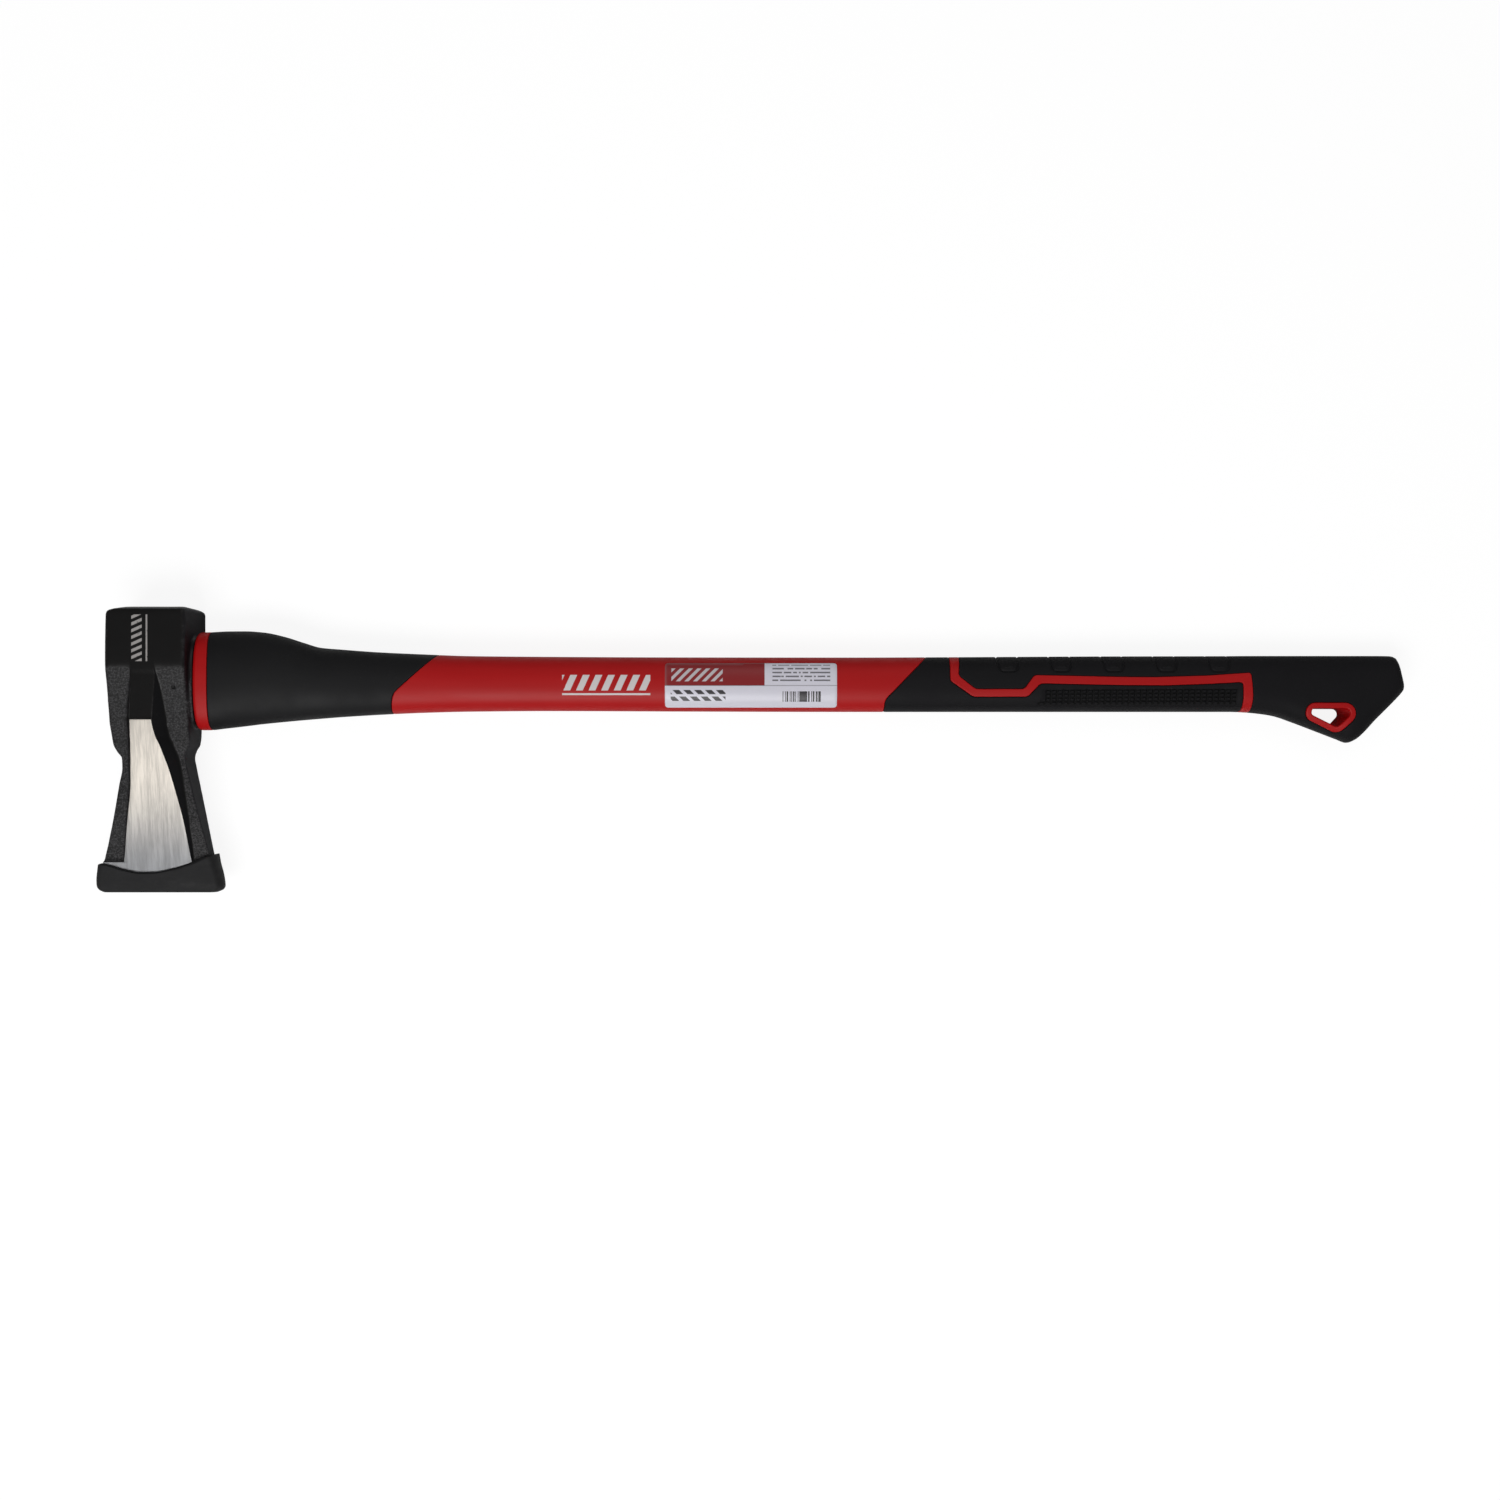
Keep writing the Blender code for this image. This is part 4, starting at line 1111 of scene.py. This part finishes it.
# Outer sections: y, left x, right x, half thickness, from the closed side to the mouth.
GUARD_SECTIONS = np.array((
    (-99.2, -452.0, -372.2, 5.6),
    (-97.6, -455.0, -368.6, 7.0),
    (-95.0, -456.5, -367.5, 7.8),
    (-91.5, -456.7, -367.9, 8.4),
    (-86.0, -456.2, -369.0, 9.0),
    (-80.0, -455.3, -370.7, 9.6),
    (-69.0, -453.9, -373.0, 10.6),
))
GUARD_LIP = np.array(((-460.0, -79.2), (-449.5, -79.6), (-436.0, -83.2), (-423.0, -85.5), (-414.0, -85.3),
                      (-399.5, -82.7), (-387.0, -79.0), (-371.5, -72.7), (-364.0, -71.8)))
GUARD_END_ROUND = 5.0
GUARD_BASE_Y = -99.2
BLADE_LEFT = -452.2
BLADE_RIGHT = -373.2
# The blade's half thickness at heights in the cavity.
CAVITY = np.array(((-95.7, 0.5), (-92.0, 2.3), (-86.0, 5.759), (-60.0, 9.997)))
GUARD_LIP_ROUND = 0.9
GUARD_POINTS = 168


def bar_ring(left, right, half, end_round):
    """A bar across X and Z with rounded ends, its points evenly spaced."""
    run = min(end_round, half)
    angles = np.linspace(-math.pi / 2.0, math.pi / 2.0, 25)
    arc = np.column_stack([np.cos(angles) * run, np.sin(angles) * half])
    right_end, left_end = arc + (right - run, 0.0), -arc + (left + run, 0.0)
    return spread(np.concatenate([right_end, left_end, right_end[:1]]), GUARD_POINTS, endpoint=False)


def guard_outer(y):
    left, right, half = monotone(GUARD_SECTIONS, np.array([y]))[0]
    return bar_ring(left, right, half, GUARD_END_ROUND)


def guard_inner(y):
    half = np.interp(y, CAVITY[:, 0], CAVITY[:, 1])
    return bar_ring(BLADE_LEFT - GAP, BLADE_RIGHT + GAP, half + GAP, 0.6)


def on_rows(section, targets):
    """One ring whose every point sits at its own height, read from sections tabulated over heights."""
    heights, table = section
    position = np.interp(targets, heights, np.arange(len(heights)))
    low = np.clip(position.astype(int), 0, len(heights) - 2)
    share = (position - low)[:, None]
    index = np.arange(len(targets))
    flat = table[low, index] * (1.0 - share) + table[low + 1, index] * share
    return np.column_stack([flat[:, 0], targets, flat[:, 1]])


def make_guard(rubber):
    outer, inner = ((heights, np.array([ring_at(y) for y in heights])) for ring_at, heights in (
        (guard_outer, np.linspace(GUARD_BASE_Y, GUARD_SECTIONS[-1, 0], 160)),
        (guard_inner, np.linspace(CAVITY[0, 0], GUARD_SECTIONS[-1, 0], 120))))
    base = on_rows(outer, np.full(GUARD_POINTS, GUARD_BASE_Y))
    middle = base[:, 0].mean()
    rings = [np.column_stack([middle + (base[:, 0] - middle) * (1.0 - share * 0.12), base[:, 1],
                              base[:, 2] * (1.0 - share)]) for share in (0.7, 0.4, 0.2, 0.08)]
    steps = np.concatenate([[0.0, 0.006, 0.018, 0.036, 0.06, 0.09], np.linspace(0.13, 1.0, 34)])
    top = monotone(GUARD_LIP, guard_outer(-82.0)[:, 0])[:, 0] - GUARD_LIP_ROUND
    rings += [on_rows(outer, GUARD_BASE_Y + (top - GUARD_BASE_Y) * share) for share in steps]
    outside_count = len(rings) * GUARD_POINTS
    # The lip turns over into the cavity.
    outer_top, inner_top = rings[-1], on_rows(inner, top)
    for degrees in (22, 45, 67, 90, 113, 135, 158, 180):
        angle = math.radians(degrees)
        ring = outer_top + (inner_top - outer_top) * (1.0 - math.cos(angle)) / 2.0
        ring[:, 1] = top + GUARD_LIP_ROUND * math.sin(angle)
        rings.append(ring)
    rings += [on_rows(inner, top + (CAVITY[0, 0] - top) * share) for share in np.linspace(0.12, 1.0, 10)]
    points, faces = loft(rings)
    lumps = fractal(points, 9.0, 5, 2) * 0.12 + fractal(points, 2.2, 6, 2) * 0.03
    lumps[outside_count:] = 0.1
    away = (points - (middle, 0.0, 0.0)) * (0.02, 0.0, 1.0)
    away /= np.linalg.norm(away, axis=1)[:, None] + 1e-9
    points = points + away * (np.minimum(lumps, 0.1) - 0.1)[:, None]
    add_piece("rubber_guard", points, faces, [rubber], "edge_guard", "guard_rubber", body="edge_guard",
              sharp_angle=60.0)


# ---------------------------------------------------------------- eye filling and core

EPOXY_END_X = -442.8
CORE_HALF = (15.5, 8.2)
CORE_END_X = 372.0


EPOXY_POINTS = 120


def make_epoxy(resin):
    """The resin between the jacket's tongue and the eye, sunk a little between the two at its free end."""
    def outer(x):
        return eye_ring(x, -GAP, count=EPOXY_POINTS)

    def inner(x):
        return eye_ring(x, GAP, TONGUE_HALF, EPOXY_POINTS)

    rings = [outer(x) for x in np.linspace(EYE_RIM_X, -442.0, 14)]
    low, high = inner(EPOXY_END_X + 0.5), outer(EPOXY_END_X + 0.1)
    for share in (0.0, 0.15, 0.35, 0.65, 0.85, 1.0):
        rings.append(high + (low - high) * share + (1.1 * math.sin(math.pi * share), 0.0, 0.0))
    rings += [inner(x) for x in np.linspace(-441.6, EYE_RIM_X, 14)]
    points, faces = loft(rings + rings[:1], closed_ends=False)
    points = points[:-EPOXY_POINTS]
    faces = np.array(faces) % len(points)
    ripple = np.clip(fractal(points, 4.0, 8, 2) * 0.25, -0.05, 0.3)
    points[:, 0] += np.where(points[:, 0] < -441.0, ripple, 0.0)
    add_piece("resin_fill", points, faces, [resin], "eye_epoxy", "epoxy")


def make_core(glass):
    def ring(x, shrink=0.0):
        return oval(x, BORE_Y, CORE_HALF[0] - shrink, CORE_HALF[1] - shrink, CORE_SQUARENESS, 96)

    face_x = TONGUE_END_X + 0.25
    middle = np.array((0.0, BORE_Y, 0.0))
    rings = [middle + (ring(face_x + 0.1) - middle) * (1.0, share, share) for share in (0.25, 0.5, 0.75)]
    rings += [ring(face_x + 0.05, 0.45), ring(face_x + 0.15, 0.15), ring(face_x + 0.5)]
    rings += [ring(x) for x in np.linspace(face_x + 2.0, CORE_END_X - 1.0, 90)]
    rings += [ring(CORE_END_X - 0.2, 0.2), ring(CORE_END_X, 0.6)]
    points, faces = loft(rings)
    saw_marks = np.clip(fractal(points, 1.2, 9, 2) * 0.06, -0.05, 0.1)
    points[:, 0] += np.where(points[:, 0] < face_x + 0.3, saw_marks, 0.0)
    add_piece("fibreglass_core", points, faces, [glass], "handle_core", "fibreglass")


# ---------------------------------------------------------------- materials

def link(tree, socket, value):
    """Feeds a socket with a constant or with another socket."""
    if isinstance(value, bpy.types.NodeSocket):
        tree.links.new(value, socket)
    else:
        socket.default_value = value


def add_node(tree, kind, inputs=None, **settings):
    made = tree.nodes.new(kind)
    for setting, value in settings.items():
        setattr(made, setting, value)
    for socket, value in (inputs or {}).items():
        link(tree, made.inputs[socket], value)
    return made


class Look:
    """A Principled material built up from procedural nodes that read the tool-frame coordinates."""

    def __init__(self, name, **values):
        self.material = bpy.data.materials.new(name)
        self.material.use_nodes = True
        self.tree = self.material.node_tree
        self.shader = self.tree.nodes["Principled BSDF"]
        for socket, value in values.items():
            self.shader.inputs[socket.replace("_", " ")].default_value = value
        self.place = self.node("ShaderNodeAttribute", attribute_name="tool").outputs["Vector"]
        axes = self.node("ShaderNodeSeparateXYZ", {0: self.place}).outputs
        self.x, self.y, self.z = axes

    def node(self, kind, inputs=None, **settings):
        return add_node(self.tree, kind, inputs, **settings)

    def mark(self, name):
        return self.node("ShaderNodeAttribute", attribute_name=name).outputs["Fac"]

    def stretched(self, scale):
        """The coordinates multiplied by scale along each axis."""
        return self.node("ShaderNodeVectorMath", {0: self.place, 1: scale}, operation="MULTIPLY").outputs[0]

    def noise(self, size, detail=3.0, roughness=0.55, scale=(1.0, 1.0, 1.0)):
        """Noise whose coarsest lumps are about size millimetres across."""
        inputs = {"Vector": self.stretched(tuple(axis / size for axis in scale)), "Scale": 1.0,
                  "Detail": detail, "Roughness": roughness}
        return self.node("ShaderNodeTexNoise", inputs).outputs["Fac"]

    def cells(self, size):
        inputs = {"Vector": self.stretched((1.0 / size,) * 3), "Scale": 1.0}
        return self.node("ShaderNodeTexVoronoi", inputs).outputs["Distance"]

    def chance(self, column, row):
        """A different random share in every whole-numbered cell of columns and rows."""
        corner = {0: self.math("FLOOR", column), 1: self.math("FLOOR", row)}
        inputs = {"Vector": self.node("ShaderNodeCombineXYZ", corner).outputs[0]}
        return self.node("ShaderNodeTexWhiteNoise", inputs, noise_dimensions="3D").outputs["Value"]

    def math(self, operation, a, b=0.0):
        return self.node("ShaderNodeMath", {0: a, 1: b, 2: 0.0}, operation=operation).outputs[0]

    def product(self, first, *others):
        for other in others:
            first = self.math("MULTIPLY", first, other)
        return first

    def total(self, a, b):
        return self.math("ADD", a, b)

    def along(self, value, length):
        """How far a value is through its present stretch of the given length, from 0 to 1."""
        return self.math("FRACT", self.math("DIVIDE", value, length))

    def ramp(self, value, low, high, to_low=0.0, to_high=1.0):
        inputs = {"Value": value, "From Min": low, "From Max": high, "To Min": to_low, "To Max": to_high}
        return self.node("ShaderNodeMapRange", inputs, interpolation_type="SMOOTHSTEP").outputs["Result"]

    def falling(self, value, low, high):
        return self.ramp(value, low, high, 1.0, 0.0)

    def blend(self, share, first, second):
        return self.node("ShaderNodeMix", {0: share, 6: first, 7: second}, data_type="RGBA").outputs[2]

    def bump(self, height, distance_mm, strength=1.0, after=None):
        inputs = {"Height": height, "Distance": distance_mm * MM, "Strength": strength}
        if after is not None:
            inputs["Normal"] = after
        return self.node("ShaderNodeBump", inputs).outputs["Normal"]

    def box(self, low_x, high_x, low_y, high_y, blur=0.15):
        """1 within a rectangle across the near cheek, 0 outside it."""
        return self.product(
            self.ramp(self.x, low_x - blur, low_x + blur),
            self.falling(self.x, high_x - blur, high_x + blur),
            self.ramp(self.y, low_y - blur, low_y + blur),
            self.falling(self.y, high_y - blur, high_y + blur),
            self.ramp(self.z, 0.0, 1.0))

    def finish(self, colour, roughness, normal):
        for socket, value in (("Base Color", colour), ("Roughness", roughness), ("Normal", normal)):
            link(self.tree, self.shader.inputs[socket], value)
        return self.material


def linear(red, green, blue):
    """A colour named by its display values from 0 to 255."""
    def one(value):
        value /= 255.0
        return value / 12.92 if value <= 0.04045 else ((value + 0.055) / 1.055) ** 2.4
    return one(red), one(green), one(blue), 1.0


def rubber_look(name, dark, light, shine):
    """Moulded soft rubber: a fine spark-eroded grain, faint cloudy patches, specks of dust, and painted shade
    in the floors between the nubs.
    """
    look = Look(name, Specular_IOR_Level=shine)
    grain = look.noise(0.55, 2.0, 0.6)
    clouds = look.noise(38.0, 3.0, 0.6)
    specks = look.ramp(look.noise(0.9, 1.0, 0.4), 0.70, 0.78)
    colour = look.blend(clouds, dark, light)
    colour = look.blend(look.product(specks, 0.35), colour, linear(52, 50, 50))
    # Painted shade: the floors between the nubs darkened.
    colour = look.blend(look.product(look.mark("sunk"), 0.8), colour, linear(4, 4, 4))
    roughness = look.total(look.ramp(clouds, 0.3, 0.7, 0.50, 0.62), look.product(grain, 0.08))
    normal = look.bump(look.noise(14.0, 2.0), 0.10, 0.6)
    return look.finish(colour, roughness, look.bump(grain, 0.055, 0.8, normal))


def red_look():
    """Moulded red polypropylene: satin, with faint flow streaks, fine grain and a plain pad print."""
    look = Look("red_polypropylene", Specular_IOR_Level=0.28)
    streaks = look.noise(9.0, 3.0, 0.55, (0.12, 1.0, 1.0))
    ink = print_mask(look)
    colour = look.blend(streaks, linear(182, 10, 14), linear(196, 14, 17))
    colour = look.blend(look.product(look.noise(45.0, 2.0), 0.35), colour, linear(172, 7, 11))
    colour = look.blend(ink, colour, linear(228, 222, 222))
    grain = look.noise(0.5, 2.0, 0.6)
    roughness = look.total(look.ramp(streaks, 0.3, 0.7, 0.42, 0.50), look.product(grain, 0.06))
    normal = look.bump(look.noise(11.0, 2.0), 0.06, 0.5)
    normal = look.bump(grain, 0.02, 0.6, normal)
    return look.finish(colour, roughness, look.bump(ink, 0.03, 0.5, normal))


# The plain marks on the handle and on the poll: their extents, and the lean and pitch of their bars.
PRINT_X = (-130.0, -69.0)
PRINT_Y = (38.0, 52.0)
PRINT_BARS = 7
POLL_PRINT_X = (-424.5, -413.5)
POLL_PRINT_Y = (61.0, 93.0)
POLL_BAR_PITCH = 4.6
BAR_LEAN = 0.45


def slanted_bars(look, along, across, pitch, rise, fall):
    """Leaning bars, one in every pitch along a mark, from a rise to a fall given as shares of the pitch."""
    wave = look.along(look.math("SUBTRACT", along, look.product(across, BAR_LEAN)), pitch)
    return look.product(look.ramp(wave, *rise), look.falling(wave, *fall))


def print_mask(look):
    """A plain mark on the near side: a row of slanted bars over a thin rule."""
    pitch = (PRINT_X[1] - PRINT_X[0]) / PRINT_BARS
    bars = slanted_bars(look, look.x, look.y, pitch, (0.04, 0.07), (0.58, 0.61))
    field = look.box(*PRINT_X, PRINT_Y[0] + 3.2, PRINT_Y[1])
    rule = look.box(*PRINT_X, PRINT_Y[0], PRINT_Y[0] + 1.3)
    return look.math("MAXIMUM", look.product(bars, field), rule)


def forged_look():
    """Black oxide paint over forged steel: pebbled panels and a smoother poll, painted lighter along the edges
    as a painted highlight, with painted shade on the wedge's walls, in the pit and, bluish, on the faces
    towards the handle.
    """
    look = Look("forged_black", Specular_IOR_Level=0.32)
    forged, shaded_handle_side = look.mark("forged"), look.mark("shaded_handle_side")
    pebbles = look.noise(1.25, 4.0, 0.72)
    fine = look.noise(0.6, 2.0, 0.6)
    smooth = look.blend(look.noise(24.0, 3.0, 0.6), linear(15, 14, 14), linear(21, 20, 20))
    # The pebbles' lighter tops are partly the forging's own speckled tone and partly a painted speckle
    # highlight.
    rough = look.blend(look.ramp(pebbles, 0.41, 0.65), linear(11, 11, 11), linear(66, 65, 67))
    # Painted highlight along the convex roundings of the edges, patchy.
    print_wear_and_edge_highlight = look.product(look.mark("edge_highlight"), look.ramp(look.noise(5.0, 3.0, 0.7), 0.45, 0.75, 0.05, 0.6))
    # The forging pit, painted nearly black as painted shade in its hollow.
    pit = look.box(PIT[0] - 1.1, PIT[0] + 1.1, PIT[1] - 1.1, PIT[1] + 1.1, 0.5)
    colour = look.blend(look.ramp(forged, 0.2, 0.7), smooth, rough)
    # Painted shade darkens the wedge's walls and, with a bluish reflected tint, the faces towards the handle;
    # the light grey along the edges is a painted highlight, the pale bars are the poll's print, and the pit is
    # painted nearly black as painted shade.
    for share, tint in ((look.product(look.mark("wall"), 0.65), (6, 6, 6)),
                        (look.product(shaded_handle_side, 0.85), (10, 10, 18)), (print_wear_and_edge_highlight, (84, 82, 84)),
                        (poll_print(look), (176, 172, 170)), (pit, (3, 3, 3))):
        colour = look.blend(share, colour, linear(*tint))
    roughness = look.total(look.ramp(forged, 0.1, 0.9, 0.25, 0.50), look.product(fine, 0.08))
    roughness = look.total(roughness, look.product(shaded_handle_side, 0.3))
    normal = look.bump(pebbles, 0.30, look.ramp(forged, 0.1, 0.8, 0.10, 0.9))
    normal = look.bump(fine, 0.05, look.ramp(forged, 0.1, 0.8, 0.30, 0.8), normal)
    return look.finish(colour, roughness, look.bump(pit, -0.8, 0.8, normal))


def poll_print(look):
    """A plain mark on the poll's near cheek: slanted bars beside a thin rule, running up the cheek."""
    bars = slanted_bars(look, look.y, look.x, POLL_BAR_PITCH, (0.04, 0.1), (0.52, 0.58))
    field = look.box(POLL_PRINT_X[0], POLL_PRINT_X[0] + 7.2, *POLL_PRINT_Y)
    rule = look.box(POLL_PRINT_X[1] - 1.1, POLL_PRINT_X[1], *POLL_PRINT_Y)
    print_wear_and_edge_highlight = look.ramp(look.noise(1.8, 3.0, 0.7), 0.30, 0.42)
    return look.product(look.math("MAXIMUM", look.product(bars, field), rule), print_wear_and_edge_highlight)


def ground_look():
    """Bare steel ground along the wedge: fine streaks towards the edge, cloudy polish, and a painted
    reflection that darkens it towards the edge.
    """
    look = Look("ground_steel", Metallic=0.75, Specular_IOR_Level=0.5)
    streaks = look.noise(0.7, 4.0, 0.75, (1.0, 0.022, 0.3))
    broad = look.noise(3.0, 3.0, 0.6, (1.0, 0.04, 0.3))
    shade = look.total(look.product(streaks, 0.5), look.product(broad, 0.5))
    # Painted reflection: the ground steel lighter towards its top and darker towards the cutting edge.
    colour = look.blend(look.ramp(look.y, -82.0, -12.0), linear(125, 126, 128), linear(207, 200, 190))
    colour = look.blend(look.ramp(shade, 0.40, 0.60, 0.28, 0.0), colour, linear(94, 94, 95))
    clouds = look.ramp(look.noise(22.0, 3.0, 0.6), 0.4, 0.75, 0.0, 0.10)
    colour = look.blend(clouds, colour, linear(120, 117, 113))
    roughness = look.ramp(shade, 0.3, 0.7, 0.50, 0.38)
    return look.finish(colour, roughness, look.bump(broad, 0.04, 0.3, look.bump(streaks, 0.03, 0.8)))


def guard_look():
    """Dull moulded rubber with a chalky bloom and faint scuffs."""
    look = Look("guard_rubber", Specular_IOR_Level=0.18)
    clouds = look.noise(12.0, 4.0, 0.6)
    bloom = look.ramp(look.noise(5.0, 4.0, 0.65, (0.4, 1.0, 1.0)), 0.45, 0.8)
    colour = look.blend(clouds, linear(32, 32, 33), linear(43, 43, 44))
    colour = look.blend(look.product(bloom, 0.3), colour, linear(60, 59, 59))
    normal = look.bump(look.noise(0.7, 3.0, 0.6), 0.08, 0.7)
    return look.finish(colour, look.ramp(clouds, 0.3, 0.7, 0.58, 0.7),
                       look.bump(look.noise(6.0, 2.0), 0.15, 0.5, normal))


def label_look():
    """A satin printed label: a coloured field, a thin rule, rows of grey dashes and a block of lines."""
    look = Look("label_film", Specular_IOR_Level=0.45)
    left, right = LABEL_X
    fibres = look.noise(1.2, 3.0, 0.6)
    rule = look.box(left - 1.0, right + 1.0, 44.3, 44.9, 0.1)
    pale = look.product(look.box(left + 4.5, left + 40.0, 47.5, 56.5),
                        look.ramp(look.along(look.math("SUBTRACT", look.x, look.y), 6.0), 0.5, 0.54))
    colour = look.blend(fibres, linear(230, 228, 240), linear(238, 236, 247))
    for share, tint in ((look.box(left - 1.0, left + 69.0, 44.6, LABEL_Y[1] + 1.0), (146, 36, 40)),
                        (look.product(rule, 0.5), (70, 60, 64)), (text_rows(look), (48, 44, 50)),
                        (pale, (214, 206, 210)), (look.product(look.mark("edge"), 0.12), (222, 222, 226))):
        colour = look.blend(share, colour, linear(*tint))
    return look.finish(colour, look.ramp(fibres, 0.3, 0.7, 0.30, 0.38), look.bump(fibres, 0.01, 0.6))


def text_rows(look):
    """Rows of short grey dashes where small print would be, a block of upright lines, and slanted bars."""
    x, y = look.x, look.y
    row = look.math("DIVIDE", look.math("SUBTRACT", y, 46.9), 2.7)
    share = look.math("FRACT", row)
    line = look.product(look.ramp(share, 0.24, 0.34), look.falling(share, 0.62, 0.72))
    words = look.ramp(look.chance(look.math("DIVIDE", x, 1.3), row), 0.16, 0.2)
    small = look.product(words, line, look.box(15.5, 55.5, 46.9, 59.0), 0.8)
    lines = look.ramp(look.chance(look.math("DIVIDE", x, 0.55), 0.0), 0.42, 0.46)
    block = look.product(lines, look.box(22.5, 49.5, 33.4, 40.6, 0.08))
    bars = look.product(look.box(LABEL_X[0] + 4.0, LABEL_X[0] + 42.0, 34.0, 41.5),
                        look.ramp(look.along(look.total(x, y), 7.5), 0.36, 0.40),
                        look.ramp(look.math("ABSOLUTE", look.math("SUBTRACT", y, 37.8)), 0.7, 0.9))
    return look.math("MAXIMUM", look.math("MAXIMUM", small, block), bars)


def resin_look():
    """Dark cast epoxy with small trapped bubbles."""
    look = Look("epoxy", Specular_IOR_Level=0.5)
    clouds = look.noise(6.0, 3.0)
    colour = look.blend(clouds, linear(22, 20, 18), linear(40, 36, 30))
    bubbles = look.falling(look.cells(1.6), 0.16, 0.24)
    return look.finish(colour, look.ramp(clouds, 0.3, 0.7, 0.22, 0.38), look.bump(bubbles, -0.25, 0.8))


def fibreglass_look():
    """Pultruded fibreglass: straw-coloured rods along the handle, showing as dots on the sawn end."""
    look = Look("fibreglass", Specular_IOR_Level=0.5)
    fibres = look.noise(0.9, 3.0, 0.7, (0.02, 1.0, 1.0))
    colour = look.blend(fibres, linear(150, 132, 84), linear(214, 200, 150))
    colour = look.blend(look.product(look.noise(7.0, 3.0), 0.3), colour, linear(128, 108, 66))
    return look.finish(colour, look.ramp(fibres, 0.3, 0.7, 0.5, 0.34), look.bump(fibres, 0.08, 0.7))


# ---------------------------------------------------------------- the object

red = red_look()
grip = rubber_look("grip_rubber", linear(23, 23, 24), linear(29, 28, 31), 0.13)
polished = rubber_look("collar_rubber", linear(19, 19, 20), linear(24, 24, 26), 0.24)
make_jacket(red)
make_grip("collar_sleeve", "front_collar", (-378.0, -185.0), RING_PATH, COLLAR_PATH, polished)
make_grip("belly_grip", "grip_belly", (93.0, 345.0), GRIP_PATH, RIB_INNER_PATH, grip,
          extra_rows=[(CREASE_PATH, (-0.6, -0.35, 0.0, 0.35, 0.6))], extra_points=nub_points(),
          details=(nub_rise, crease_rise))
make_grip("back_grip", "grip_back", (138.0, KNOB_END_X), RIB_OUTER_PATH, None, grip,
          extra_rows=[(path, (-1.1, -0.75, -0.4, 0.0, 0.4, 0.75, 1.1)) for path in PAD_PATHS],
          extra_points=bar_points(), details=(pad_rise,))
make_label(label_look())
make_head(forged_look(), ground_look())
make_guard(guard_look())
make_epoxy(resin_look())
make_core(fibreglass_look())


# ---------------------------------------------------------------- floor, light and camera

CAMERA_HEIGHT = 1166.7       # above the tool's middle plane


def mix_for_camera(tree, out, plain, seen, share=None):
    """Shows the camera a different shader from the one that lights the scene, wholly or by a share."""
    factor = add_node(tree, "ShaderNodeLightPath").outputs["Is Camera Ray"]
    if share is not None:
        factor = add_node(tree, "ShaderNodeMath", {0: factor, 1: share}, operation="MULTIPLY").outputs[0]
    mix = add_node(tree, "ShaderNodeMixShader", {0: factor, 1: plain.outputs[0], 2: seen.outputs[0]})
    link(tree, tree.nodes[out].inputs["Surface"], mix.outputs[0])


def floor_look():
    """Matt white paper, lit from behind as on a light table, which keeps shadows on it faint."""
    look = Look("pale_floor", Base_Color=(0.93, 0.93, 0.93, 1.0), Roughness=0.9, Specular_IOR_Level=0.1)
    glow = look.node("ShaderNodeEmission", {"Strength": 1.12})
    mix_for_camera(look.tree, "Material Output", look.shader, glow, 0.80)
    return look.material


def make_floor():
    """A broad pale sheet with a faint unevenness."""
    count = 61
    ticks = np.linspace(-12.0, 12.0, count)
    points = [(x, y, 0.0004 * noise.noise(Vector((x, y, 0.0))) - 0.0008) for x in ticks for y in ticks]
    corners = [i * count + j for i in range(count - 1) for j in range(count - 1)]
    faces = [(corner, corner + count, corner + count + 1, corner + 1) for corner in corners]
    floor = new_object("floor", points, faces, [floor_look()], closed=False)


def add_light(name, location, target, size, power):
    data = bpy.data.lights.new(name, "AREA")
    data.shape = "RECTANGLE"
    data.size, data.size_y = size
    data.energy = power
    light = add_object(name, data)
    light.location = location
    light.rotation_euler = (Vector(target) - Vector(location)).to_track_quat("-Z", "Y").to_euler()


def set_world(brightness, shown):
    """Even light from all round, and a white backdrop where the camera sees past the floor."""
    world = bpy.data.worlds.new("studio")
    bpy.context.scene.world = world
    world.use_nodes = True
    tree = world.node_tree
    back = tree.nodes["Background"]
    back.inputs["Color"].default_value = (1.0, 1.0, 1.0, 1.0)
    back.inputs["Strength"].default_value = brightness
    seen = add_node(tree, "ShaderNodeBackground", {"Color": (1.0, 1.0, 1.0, 1.0), "Strength": shown})
    mix_for_camera(tree, "World Output", back, seen)


def add_camera():
    """Square over the tool's middle plane, as far above it as the view's perspective shows."""
    data = bpy.data.cameras.new("camera")
    data.lens = 40.0
    data.sensor_width = 36.0
    data.clip_start, data.clip_end = 0.01, 50.0
    camera = add_object("camera", data)
    camera.matrix_world = REST @ Matrix.Translation((0.0, 0.0, CAMERA_HEIGHT * MM))
    bpy.context.scene.camera = camera


make_floor()
set_world(0.17, 1.0)
add_light("key", (-0.45, -1.05, 1.75), (-0.1, 0.0, 0.0), (1.5, 0.8), 24.0)
add_light("fill", (0.5, 1.3, 2.0), (0.0, 0.0, 0.0), (1.6, 1.2), 4.5)
add_camera()
bpy.context.scene.view_settings.view_transform = "Standard"
